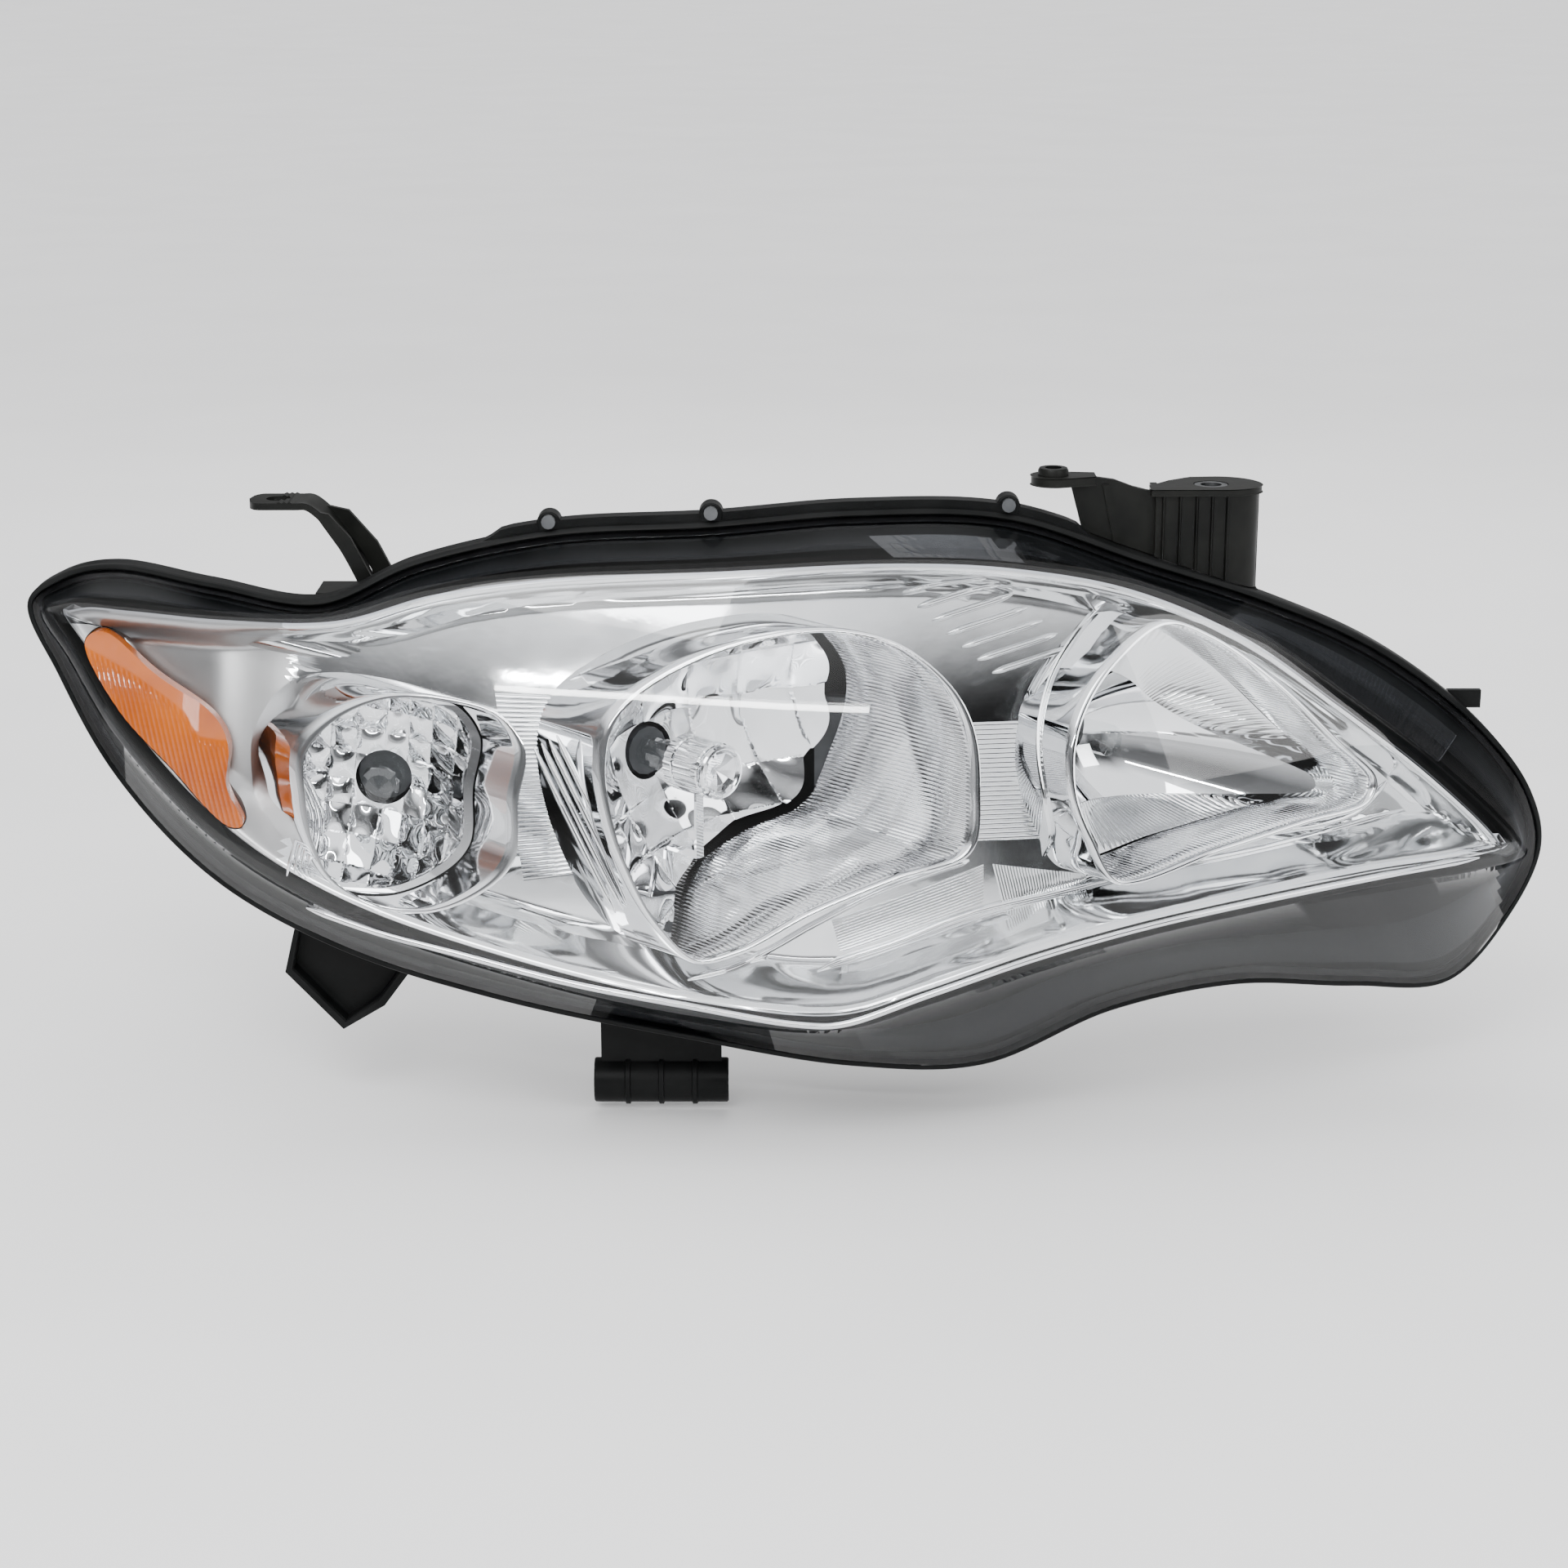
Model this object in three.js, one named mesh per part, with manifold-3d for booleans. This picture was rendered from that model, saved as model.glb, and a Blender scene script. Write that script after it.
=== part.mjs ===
// Car headlight assembly for the right-hand corner: a clear wrap-round lens on a black housing, a bright bezel
// with three collared bowls, a twin reflector aimed by two screws about a ball pivot, twist-lock bulbs and brackets.
// Millimetres. Lamp frame: x runs along the sweep of the lens towards the grille, y goes into the car square to
// the sweep, z is up. Beam frame: the lamp frame turned by the sweep about z, so that its y is the beam's axis.
import * as THREE from "three";
import { mergeVertices } from "three/addons/utils/BufferGeometryUtils.js";
import Module from "manifold-3d";

const wasm = await Module();
wasm.setup();

const SWEEP = THREE.MathUtils.degToRad(43); // the lens against the car's cross direction
const BRACKET_FACE = [166, 104, 103]; // lamp-frame point on the inner bracket's top face, the part's origin
const SAMPLES = 1; // points on each span of an outline
const GAP = 0.4; // left between two pieces that touch

// The front of the lens is a bowed sheet that leans back; rim and back wall follow it.
const SHEET = { bow: 0.00075, lean: 0.3, crown: 0.0014 };
const RIM = { depth: 34, byX: 0.045, byZ: 0.05 };
const BACK = { depth: 102, bow: 0.00045, lean: 0.08 };
const LENS = { thickness: 3, foot: 6, inset: 3 };
const LIP = { front: 1, floor: 9.3, back: 12, width: 2.5, inner: 6.8, wall: 2.5 };
const BEZEL = { edge: 7, floor: 36, outerFloor: 20, thickness: 2, collarFront: 9, collarWall: 2 };

// Outlines as [x, z], from the outer tip over the top: the lens face and, point for point, the rim behind it.
const FACE = [
  [-322, 50], [-310, 56], [-285, 57], [-240, 57], [-191, 60], [-150, 72], [-100, 80], [-30, 84], [47, 87], [98, 84],
  [149, 74], [198, 53], [240, 24], [284, -10], [317, -42], [321, -51], [300, -55], [256, -56], [200, -61], [150, -68],
  [105, -78], [60, -92], [24, -102], [-40, -96], [-115, -81], [-191, -60], [-240, -36], [-285, 2], [-308, 32],
];
const RIM_EDGE = [
  [-334, 48], [-318, 61], [-293, 67], [-248, 63], [-199, 59], [-158, 76], [-100, 89], [-31, 93], [31, 97], [96, 94],
  [154, 75], [214, 54], [262, 31], [308, -4], [335, -38], [341, -64], [325, -94], [297, -118], [250, -113], [195, -105],
  [140, -111], [85, -131], [30, -129], [-40, -116], [-124, -100], [-190, -83], [-245, -58], [-290, -19], [-318, 20],
];
// Bowl sections in the beam frame as [x, z], clockwise from the outer side.
const LOW_SECTION = [
  [-48, -16], [-46, 3], [-40, 20], [-29, 33], [-8, 47], [13, 55], [36, 58], [55, 52], [67, 37],
  [71, 20], [68, -6], [60, -32], [35, -42], [7, -56], [-16, -72], [-30, -76], [-41, -60], [-47, -35],
];
const HIGH_SECTION = [
  [99, -11], [102, 8], [111, 26], [128, 44], [151, 57], [167, 50], [187, 31],
  [207, 5], [221, -13], [216, -23], [187, -29], [152, -37], [110, -47], [102, -29],
];
const TURN_SECTION = [
  [-126, -34], [-125, -17], [-121, 3], [-108, 20], [-94, 28], [-80, 28], [-68, 23],
  [-64, 10], [-70, -12], [-75, -36], [-85, -50], [-100, -60], [-114, -59], [-123, -50],
];
const AMBER = [
  [-301, 39], [-294, 43], [-268, 28], [-241, 13], [-235, 3], [-236, -14], [-229, -29], [-235, -30], [-261, -8], [-285, 13],
];

// Collars: how much deeper each runs at its inner side than at its outer side, where it meets the bezel's floor,
// and how much of that it loses for each millimetre of height.
const COLLARS = [
  { section: LOW_SECTION, deeper: 37, loss: 0.47 },
  { section: HIGH_SECTION, deeper: 0, loss: 0 },
  { section: TURN_SECTION, deeper: -25, loss: 0 },
];
const LOW_BOWL = { x: 0, z: -3, vertex: 88, fallX: 116, fallZ: 110, hole: 12.5, inset: 6.8, scale: 1, wall: 3 };
const HIGH_BOWL = { x: 140, z: 3, vertex: -24, fallX: 50, fallZ: 60, hole: 12.5, inset: 0, scale: 0.83, wall: 3 };
const TURN_BOWL = { x: -171, z: -14, hole: 12, depth: 60, wall: 2.3, inset: 2.6, front: 24 };

// Wells in the back wall where bulbs go in: floor and end are depths along the well's own axis.
const LOW_PORT = { x: 0, z: -3, floor: 112, end: 130, radius: 34, hole: 24, beam: true };
const HIGH_PORT = { x: 140, z: 3, floor: 3, end: 20, radius: 31, hole: 24, beam: true };
const TURN_PORT = { x: -171, z: -14, floor: 82, end: 112, radius: 24, hole: 13.5, beam: false };
const MARKER_PORT = { x: -258, z: 16, floor: 104, end: 132, radius: 15, hole: 8.5, beam: false };
const PORTS = [LOW_PORT, HIGH_PORT, TURN_PORT, MARKER_PORT];
const FAR = 300;

// Aiming: a ball pivot, one screw below it for height and one beside it for direction, all at one depth.
const AIM = { x: 28, y: 80, z: 48, drop: 96, across: 126, ball: 4.5, boss: 8.9 };
const SCREW = {
  shaft: 3.6, neck: 2.6, caseRadius: 9, caseEnd: 13, bossRadius: 12.5, knobRadius: 11, knobLength: 13, stroke: 5,
};

const BREATHER = { x: 78, z: 42, wall: 112, boss: 7, bore: 2.5, tube: 4.5, drop: 22 };
const BULB = { body: 10.5, flange: 16, flangeHeight: 3.5, seat: 4.5, neck: 10, glass: 30, glassRadius: 7, plug: 17 };
const SHADE = { front: 41, back: 62, radius: 12, wall: 1.2, strap: 4, strapStart: 52, strapEnd: 71.1, strapDrop: 40.5 };
const SOCKET_SEAT = 2.6; // a small socket's flange stands this far behind its port's floor
const LOWER_TAB = { left: -82, right: -24, y: 45, z: -146, radius: 10, bore: 7.5 };
const SIDE_LUG = { left: 296, right: 311, front: 127.5, back: 131, bottom: -1, top: 7 };
const INNER_PLATE = { left: 158, right: 207, front: 99, back: 130, bottom: 100, top: 103, round: 18 };
const INNER_HOLE = { x: 185, y: 112.5, radius: 7.6, bush: 7.2, bore: 4.6 };
const INNER_EAR = { x: 116, y: 106.5, radius: 9.5, bottom: 104, top: 108, ring: 6, ringTop: 111.5, bore: 3.6 };
const OUTER_HOLE = { x: -219, y: 110.5, radius: 5.2 };
const BRACKET_SCREWS = [
  { name: "inner_bracket_screw_1", x: 172, z: 38 },
  { name: "inner_bracket_screw_2", x: 196, z: 30 },
  { name: "outer_bracket_screw_1", x: -196, z: 38 },
  { name: "outer_bracket_screw_2", x: -174, z: 34 },
];
const FOOT_DEPTH = 9; // the bracket feet stand this far behind the back wall
const LENS_TABS = [6, 7, 9]; // points of the rim outline that carry a screw tab
const LOCK_TURN = THREE.MathUtils.degToRad(30); // angle between the locking ears and the level

const finish = (color, roughness, metalness) => new THREE.MeshStandardMaterial({ color, roughness, metalness });
const MATERIALS = {
  black: finish("#17181a", 0.55, 0),
  clear: new THREE.MeshStandardMaterial({ color: "#e9eef0", roughness: 0.05, transparent: true, opacity: 0.25 }),
  chrome: finish("#d8dadc", 0.12, 1),
  amber: finish("#e07d12", 0.2, 0),
  rubber: finish("#1d1d1f", 0.85, 0),
  steel: finish("#9a9ea2", 0.35, 1),
  nylon: finish("#e6e4dc", 0.5, 0),
  grey: finish("#4b4e52", 0.5, 0),
  glass: new THREE.MeshStandardMaterial({ color: "#f4f7f8", roughness: 0.03, transparent: true, opacity: 0.4 }),
};

// Geometry helpers

function tidy(geometry) {
  const bare = geometry.clone();
  bare.deleteAttribute("normal");
  bare.deleteAttribute("uv");
  const merged = mergeVertices(bare, 1e-3);
  const corners = merged.index.array;
  const kept = [];
  for (let i = 0; i < corners.length; i += 3) {
    const [a, b, c] = corners.slice(i, i + 3);
    if (a !== b && b !== c && c !== a) kept.push(a, b, c);
  }
  if (signedVolume(merged.attributes.position.array, kept) < 0) kept.reverse();
  merged.setIndex(kept);
  return merged;
}

function signedVolume(at, corners) {
  const point = (i) => new THREE.Vector3().fromArray(at, 3 * i);
  let sum = 0;
  for (let i = 0; i < corners.length; i += 3) {
    const [a, b, c] = [point(corners[i]), point(corners[i + 1]), point(corners[i + 2])];
    sum += a.dot(b.cross(c)) / 6;
  }
  return sum;
}

function toSolid(geometry) {
  const closed = tidy(geometry);
  const vertProperties = closed.attributes.position.array;
  return new wasm.Manifold(new wasm.Mesh({ numProp: 3, vertProperties, triVerts: new Uint32Array(closed.index.array) }));
}

function fromSolid(solid) {
  const mesh = solid.getMesh();
  const geometry = new THREE.BufferGeometry();
  geometry.setAttribute("position", new THREE.BufferAttribute(new Float32Array(mesh.vertProperties), 3));
  geometry.setIndex([...mesh.triVerts]);
  return geometry;
}

const join = (first, ...rest) => fromSolid(rest.reduce((sum, g) => sum.add(toSolid(g)), toSolid(first)));
const cut = (first, ...tools) => fromSolid(tools.reduce((left, g) => left.subtract(toSolid(g)), toSolid(first)));

function box(x0, x1, y0, y1, z0, z1) {
  const size = [x1 - x0, y1 - y0, z1 - z0];
  return new THREE.BoxGeometry(...size).translate((x0 + x1) / 2, (y0 + y1) / 2, (z0 + z1) / 2);
}

// A round bar along y.
function bar(x, z, radius, y0, y1, sides = 16) {
  return new THREE.CylinderGeometry(radius, radius, y1 - y0, sides).translate(x, (y0 + y1) / 2, z);
}

// A turned piece about y from [radius, y] pairs; a profile off the axis closes on itself.
function turned(x, z, profile, sides = 16) {
  const onAxis = profile[0][0] === 0;
  const pairs = onAxis ? profile : [...profile, profile[0]];
  return new THREE.LatheGeometry(pairs.map(([r, y]) => new THREE.Vector2(r, y)), sides).translate(x, 0, z);
}

function plate(outline, y0, y1) {
  const shape = new THREE.Shape(outline.map(([x, z]) => new THREE.Vector2(x, z)));
  const slab = new THREE.ExtrudeGeometry(shape, { depth: y1 - y0, bevelEnabled: false });
  return slab.rotateX(Math.PI / 2).translate(0, y1, 0);
}

// A level plate from a plan outline of [x, y] pairs.
function shelf(outline, z0, z1) {
  const shape = new THREE.Shape(outline.map(([x, y]) => new THREE.Vector2(x, y)));
  return new THREE.ExtrudeGeometry(shape, { depth: z1 - z0, bevelEnabled: false }).translate(0, 0, z0);
}

const beamToLamp = (geometry) => geometry.rotateZ(SWEEP);

// Outlines, rings and skins

function outline(points) {
  const curve = new THREE.CatmullRomCurve3(points.map(([x, z]) => new THREE.Vector3(x, 0, z)), true, "catmullrom", 0.5);
  return curve.getPoints(points.length * SAMPLES).slice(0, -1).map((p) => [p.x, p.z]);
}

// Moves a clockwise outline inwards by a distance.
function inset(loop, distance) {
  return loop.map(([x, z], i) => {
    const before = loop.at(i - 1);
    const after = loop[(i + 1) % loop.length];
    const [tx, tz] = [after[0] - before[0], after[1] - before[1]];
    const length = Math.hypot(tx, tz);
    return [x + (tz / length) * distance, z - (tx / length) * distance];
  });
}

const shrink = (loop, [cx, cz], sx, sz = sx) => loop.map(([x, z]) => [cx + (x - cx) * sx, cz + (z - cz) * sz]);
const mix = (a, b, t) => a.map((p, i) => p.map((value, k) => value + (b[i][k] - value) * t));
const ring = (loop, depth) => loop.map(([x, z]) => [x, depth(x, z), z]);

function surface(rings, closed) {
  const count = rings[0].length;
  const points = rings.flat();
  const index = [];
  const strips = closed ? rings.length : rings.length - 1;
  for (let r = 0; r < strips; r++) {
    const next = (r + 1) % rings.length;
    for (let i = 0; i < count; i++) {
      const j = (i + 1) % count;
      const [a, b, c, d] = [r * count + i, r * count + j, next * count + j, next * count + i];
      index.push(a, b, c, a, c, d);
    }
  }
  return { points, index, count };
}

function finished({ points, index }) {
  const geometry = new THREE.BufferGeometry();
  geometry.setAttribute("position", new THREE.Float32BufferAttribute(points.flat(), 3));
  geometry.setIndex(index);
  return geometry;
}

// A body through rings whose first and last ring close to a point in the middle.
function skin(rings, firstPole, lastPole) {
  const { points, index, count } = surface(rings, false);
  const first = points.push(firstPole) - 1;
  const last = points.push(lastPole) - 1;
  const base = (rings.length - 1) * count;
  for (let i = 0; i < count; i++) {
    const j = (i + 1) % count;
    index.push(first, j, i, last, base + i, base + j);
  }
  return finished({ points, index });
}

// A tube-like body whose rings run round its wall and meet again.
const sleeve = (rings) => finished(surface(rings, true));

const sheetDepth = (x, z) => SHEET.bow * x * x + SHEET.lean * z + SHEET.crown * z * z;
const rimDepth = (x, z) => sheetDepth(x, z) + RIM.depth + RIM.byX * x + RIM.byZ * z;
const backDepth = (x, z) => BACK.depth + BACK.bow * x * x + BACK.lean * z;
const atSheet = (extra) => (x, z) => sheetDepth(x, z) + extra;
const atRim = (extra) => (x, z) => rimDepth(x, z) + extra;
const atBack = (extra) => (x, z) => backDepth(x, z) + extra;
const pointOn = (x, z, depth) => [x, depth(x, z), z];

const face = outline(FACE);
const rim = outline(RIM_EDGE);
const MIDDLE = [0, -8];
const AMBER_MIDDLE = [-262, 8];

function toLampFrame([x, y, z]) {
  return [x * Math.cos(SWEEP) - y * Math.sin(SWEEP), x * Math.sin(SWEEP) + y * Math.cos(SWEEP), z];
}

// The lamp-frame point where the line along the beam through [x, z] lies a given depth behind the sheet.
function beamPointAtDepth([x, z], depth) {
  let y = 0;
  for (let step = 0; step < 20; step++) {
    const [lampX, lampY] = toLampFrame([x, y, z]);
    y += (sheetDepth(lampX, z) + depth - lampY) / Math.cos(SWEEP);
  }
  return toLampFrame([x, y, z]);
}

// Housing and lens

// The housing's outside from the back wall round to the lip; grow swells it for cutting its neighbours.
function housingOutside(grow) {
  const rings = [
    ring(shrink(rim, MIDDLE, 0.4), atBack(grow)),
    ring(shrink(rim, MIDDLE, 0.87, 0.76), atBack(grow)),
    ring(inset(shrink(rim, MIDDLE, 0.91, 0.82), -grow), atBack(grow - 4)),
    mix(ring(inset(shrink(rim, MIDDLE, 0.94, 0.87), -grow), atBack(grow - 8)), ring(inset(rim, 5 - grow), atRim(13)), 0.45),
    ring(inset(rim, 4 - grow), atRim(LIP.back + grow)),
    ring(inset(rim, -grow), atRim(LIP.back + grow)),
    ring(inset(rim, -grow), atRim(LIP.front - grow)),
  ];
  return rings;
}

function housingInside() {
  const wall = LIP.wall;
  return [
    ring(inset(rim, LIP.inner + 2), atRim(LIP.floor - 5)),
    ring(inset(rim, LIP.inner + 2), atRim(LIP.back)),
    mix(ring(inset(shrink(rim, MIDDLE, 0.94, 0.87), wall), atBack(-8 - wall)), ring(inset(rim, 9), atRim(13)), 0.45),
    ring(inset(shrink(rim, MIDDLE, 0.91, 0.82), wall), atBack(-4 - wall)),
    ring(inset(shrink(rim, MIDDLE, 0.87, 0.76), wall * 0.6), atBack(-wall)),
    ring(shrink(rim, MIDDLE, 0.4), atBack(-wall)),
  ];
}

function housingShell() {
  const lip = [
    ring(inset(rim, LIP.width), atRim(LIP.front)),
    ring(inset(rim, LIP.width), atRim(LIP.floor)),
    ring(inset(rim, LIP.inner), atRim(LIP.floor)),
    ring(inset(rim, LIP.inner), atRim(LIP.floor - 5)),
  ];
  const poles = [pointOn(...MIDDLE, atBack(0)), pointOn(...MIDDLE, atBack(-LIP.wall))];
  return skin([...housingOutside(0), ...lip, ...housingInside()], ...poles);
}

// The solids that make a bulb well: a cup sunk through the back wall, its bore and the hole in its floor.
function portShapes(port) {
  const place = (geometry) => (port.beam ? beamToLamp(geometry) : geometry);
  const { x, z, floor, end, radius, hole } = port;
  const wall = LIP.wall;
  return {
    cup: place(bar(x, z, radius + wall, floor - wall, end, 20)),
    bore: place(bar(x, z, radius, floor, FAR, 20)),
    hole: place(bar(x, z, hole, floor - 2 * wall, floor + wall, 16)),
  };
}

function adjusterBosses() {
  const wallAt = (x, z) => backDepth(x, z);
  const spots = [
    [AIM.x, AIM.z - AIM.drop],
    [AIM.x - AIM.across, AIM.z],
  ];
  const boss = ([x, z]) => bar(x, z, SCREW.bossRadius, wallAt(x, z) - 5, wallAt(x, z) + 7);
  const bore = ([x, z]) => bar(x, z, SCREW.caseRadius + GAP, wallAt(x, z) - 12, wallAt(x, z) + 14);
  return { bosses: spots.map(boss), bores: spots.map(bore) };
}

const tabPoint = (index) => {
  const [x, z] = rim[index];
  return [x, rimDepth(x, z), z + 3.8];
};

function lensTab(index) {
  const [x, y, z] = tabPoint(index);
  return bar(x, z, 5.4, y + 2, y + LIP.back, 16);
}

function lowerTab() {
  const { left, right, y, z, radius, bore } = LOWER_TAB;
  const round = (size, length) => {
    const shape = new THREE.CylinderGeometry(size, size, length, 16).rotateZ(Math.PI / 2);
    return shape.translate((left + right) / 2, y, z);
  };
  const hollow = round(bore, right - left + 2);
  const half = cut(round(radius, right - left), hollow, box(left - 1, right + 1, y, y + 15, z - 14, z + 16));
  const ribs = [0.25, 0.5, 0.75].map((t) => {
    const x = left + (right - left) * t;
    return cut(box(x - 1, x + 1, y - 11, y, z - 11, z + 11), hollow.clone());
  });
  const stem = box(left + 3, right - 3, y - 3, y, z + 8, z + 50);
  return [half, stem, ...ribs];
}

function lowerBoss() {
  const foot = plate([[-208, -78], [-212, -98], [-190, -122], [-176, -112], [-164, -96], [-164, -76]], 52, 66);
  const recess = plate([[-204, -90], [-190, -116], [-180, -108], [-172, -94]], 50, 60);
  return cut(foot, recess);
}

function housing() {
  const { bosses, bores } = adjusterBosses();
  const ports = PORTS.map(portShapes);
  const screws = BRACKET_SCREWS.map(({ x, z }) => screwHoles(x, z));
  const rough = join(
    housingShell(),
    ...ports.map((port) => port.cup),
    ...bosses,
    ...screws.map((screw) => screw.boss),
    ...LENS_TABS.map(lensTab),
    ...lowerTab().map((shape) => cut(shape, spaceInside())),
    cut(lowerBoss(), spaceInside()),
    bar(AIM.x, AIM.z, 8, backDepth(AIM.x, AIM.z) - 5, backDepth(AIM.x, AIM.z) + 6),
    box(SIDE_LUG.left, SIDE_LUG.right, SIDE_LUG.front, SIDE_LUG.back, SIDE_LUG.bottom, SIDE_LUG.top),
    bar(BREATHER.x, BREATHER.z, BREATHER.boss, BREATHER.wall - 12, BREATHER.wall),
  );
  const tabHoles = LENS_TABS.map((index) => {
    const [x, y, z] = tabPoint(index);
    return bar(x, z, 1.6 + GAP, y, y + 9, 10);
  });
  return cut(
    rough,
    ...ports.map((port) => port.bore),
    ...ports.map((port) => port.hole),
    ...bores,
    ...screws.map((screw) => screw.hole),
    ...tabHoles,
    bar(AIM.x, AIM.z, 3 + GAP, 60, 130),
    bar(BREATHER.x, BREATHER.z, BREATHER.bore, BREATHER.wall - 32, BREATHER.wall + 18, 20),
  );
}

// Everything inside the housing's wall, reaching out past the lens.
function spaceInside() {
  const rings = [ring(inset(rim, LIP.inner + 2), atRim(-60)), ...housingInside()];
  return skin(rings, pointOn(...MIDDLE, atRim(-60)), pointOn(...MIDDLE, atBack(-LIP.wall)));
}

function screwHoles(x, z) {
  const wall = backDepth(x, z);
  return { boss: bar(x, z, 5, wall - 12, wall - 1, 20), hole: bar(x, z, 2 + GAP, wall - 10, wall + 3, 16) };
}

function lens() {
  const { thickness, foot, inset: side } = LENS;
  const front = ring(face, atSheet(3));
  const heelOutside = ring(inset(rim, side), atRim(-1));
  const heelInside = ring(inset(rim, side + thickness), atRim(-1));
  const corner = ring(inset(face, 3.2), atSheet(6));
  const rings = [
    ring(shrink(face, MIDDLE, 0.35), atSheet(0)),
    ring(shrink(face, MIDDLE, 0.7), atSheet(0)),
    ring(inset(face, 5), atSheet(0)),
    ring(inset(face, 1.2), atSheet(0.8)),
    front,
    mix(front, heelOutside, 0.5),
    heelOutside,
    ring(inset(rim, side), atRim(foot)),
    ring(inset(rim, side + thickness), atRim(foot)),
    heelInside,
    mix(corner, heelInside, 0.5),
    corner,
    ring(inset(face, 7), atSheet(thickness)),
    ring(shrink(face, MIDDLE, 0.7), atSheet(thickness)),
    ring(shrink(face, MIDDLE, 0.35), atSheet(thickness)),
  ];
  return skin(rings, pointOn(...MIDDLE, atSheet(0)), pointOn(...MIDDLE, atSheet(thickness)));
}

function lensSeal() {
  const [outer, inner] = [LENS.inset, LENS.inset + LENS.thickness];
  const [front, back] = [LENS.foot + GAP, LIP.floor - GAP];
  return sleeve([
    ring(inset(rim, outer), atRim(front)),
    ring(inset(rim, inner), atRim(front)),
    ring(inset(rim, inner), atRim(back)),
    ring(inset(rim, outer), atRim(back)),
  ]);
}

// Bezel, collars and fixed bowls

function bezelFloor(x, z) {
  const towardsTurn = THREE.MathUtils.smoothstep(x, -245, -205);
  return sheetDepth(x, z) + BEZEL.outerFloor + (BEZEL.floor - BEZEL.outerFloor) * towardsTurn;
}

function bezelTray() {
  const back = BEZEL.thickness;
  const under = (x, z) => bezelFloor(x, z) + back;
  const inner = [shrink(face, MIDDLE, 0.3), shrink(face, MIDDLE, 0.62), shrink(face, MIDDLE, 0.92, 0.8)];
  const edge = shrink(face, MIDDLE, 0.985, 1);
  const fronts = inner.map((loop) => ring(loop, bezelFloor));
  const backs = inner.map((loop) => ring(loop, under)).reverse();
  const rings = [
    ...fronts,
    ring(inset(edge, 9), atSheet(BEZEL.edge + 8)),
    ring(inset(edge, 6), atSheet(BEZEL.edge)),
    ring(inset(edge, 4.5), atSheet(BEZEL.edge + 0.5)),
    ring(inset(edge, 7), atSheet(BEZEL.edge + 9 + back)),
    ...backs,
  ];
  return skin(rings, pointOn(...MIDDLE, bezelFloor), pointOn(...MIDDLE, under));
}

function collarDepth([x, z], { section, deeper, loss }) {
  const xs = section.map((point) => point[0]);
  const across = (x - Math.min(...xs)) / (Math.max(...xs) - Math.min(...xs));
  return BEZEL.floor + BEZEL.thickness + (deeper - loss * z) * across;
}

function collar(shape) {
  const outer = outline(shape.section);
  const inner = inset(outer, BEZEL.collarWall);
  const front = (loop) => loop.map((point) => beamPointAtDepth(point, BEZEL.collarFront));
  const back = (loop) => loop.map((point) => beamPointAtDepth(point, collarDepth(point, shape)));
  return sleeve([front(outer), back(outer), back(inner), front(inner)]);
}

// The solid that clears a collar's bore through the tray.
function collarPlug({ section }) {
  const loop = inset(outline(section), BEZEL.collarWall / 2);
  const [near, far] = [0, BEZEL.floor + 12].map((depth) => loop.map((point) => beamPointAtDepth(point, depth)));
  const centre = (points) => [0, 1, 2].map((k) => points.reduce((sum, p) => sum + p[k], 0) / points.length);
  return skin([near, far], centre(near), centre(far));
}

function amberWindow() {
  const loop = inset(outline(AMBER), -1);
  const [near, far] = [-4, 19].map((depth) => ring(loop, atSheet(depth)));
  return skin([near, far], pointOn(...AMBER_MIDDLE, atSheet(-4)), pointOn(...AMBER_MIDDLE, atSheet(19)));
}

function bezel() {
  const markerHole = bar(MARKER_PORT.x, MARKER_PORT.z, 11, 40, 120);
  const holed = cut(bezelTray(), ...COLLARS.map(collarPlug), amberWindow(), markerHole);
  return join(holed, ...COLLARS.map(collar));
}

function turnReflector() {
  const { x, z, hole, depth, wall, inset: edge, front } = TURN_BOWL;
  const section = outline(TURN_SECTION);
  const around = (radius, y) =>
    section.map((_, i) => {
      const angle = Math.PI - (2 * Math.PI * i) / section.length;
      return [x + radius * Math.cos(angle), y, z + radius * Math.sin(angle)];
    });
  const rimAt = (distance) => inset(section, distance).map((point) => beamPointAtDepth(point, front));
  const inside = [rimAt(edge + wall), around(hole, depth)];
  const outside = [rimAt(edge), around(hole + wall, depth + wall)];
  const bulged = ([a, b], bulge) => mix(a, b, 0.5).map(([px, py, pz]) => [px, py + bulge, pz]);
  return sleeve([inside[0], bulged(inside, -1), inside[1], outside[1], bulged(outside, -1), outside[0]]);
}

function sideMarkerReflector() {
  const edge = outline(AMBER);
  const inner = inset(edge, 2);
  const rings = [
    ring(shrink(edge, AMBER_MIDDLE, 0.5), atSheet(6)),
    ring(inset(edge, 1), atSheet(6.6)),
    ring(edge, atSheet(8)),
    ring(edge, atSheet(18)),
    ring(inner, atSheet(18)),
    ring(inner, atSheet(9.4)),
    ring(shrink(edge, AMBER_MIDDLE, 0.5), atSheet(8.6)),
  ];
  return skin(rings, pointOn(...AMBER_MIDDLE, atSheet(6)), pointOn(...AMBER_MIDDLE, atSheet(8.6)));
}

// Aimed reflector

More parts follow.
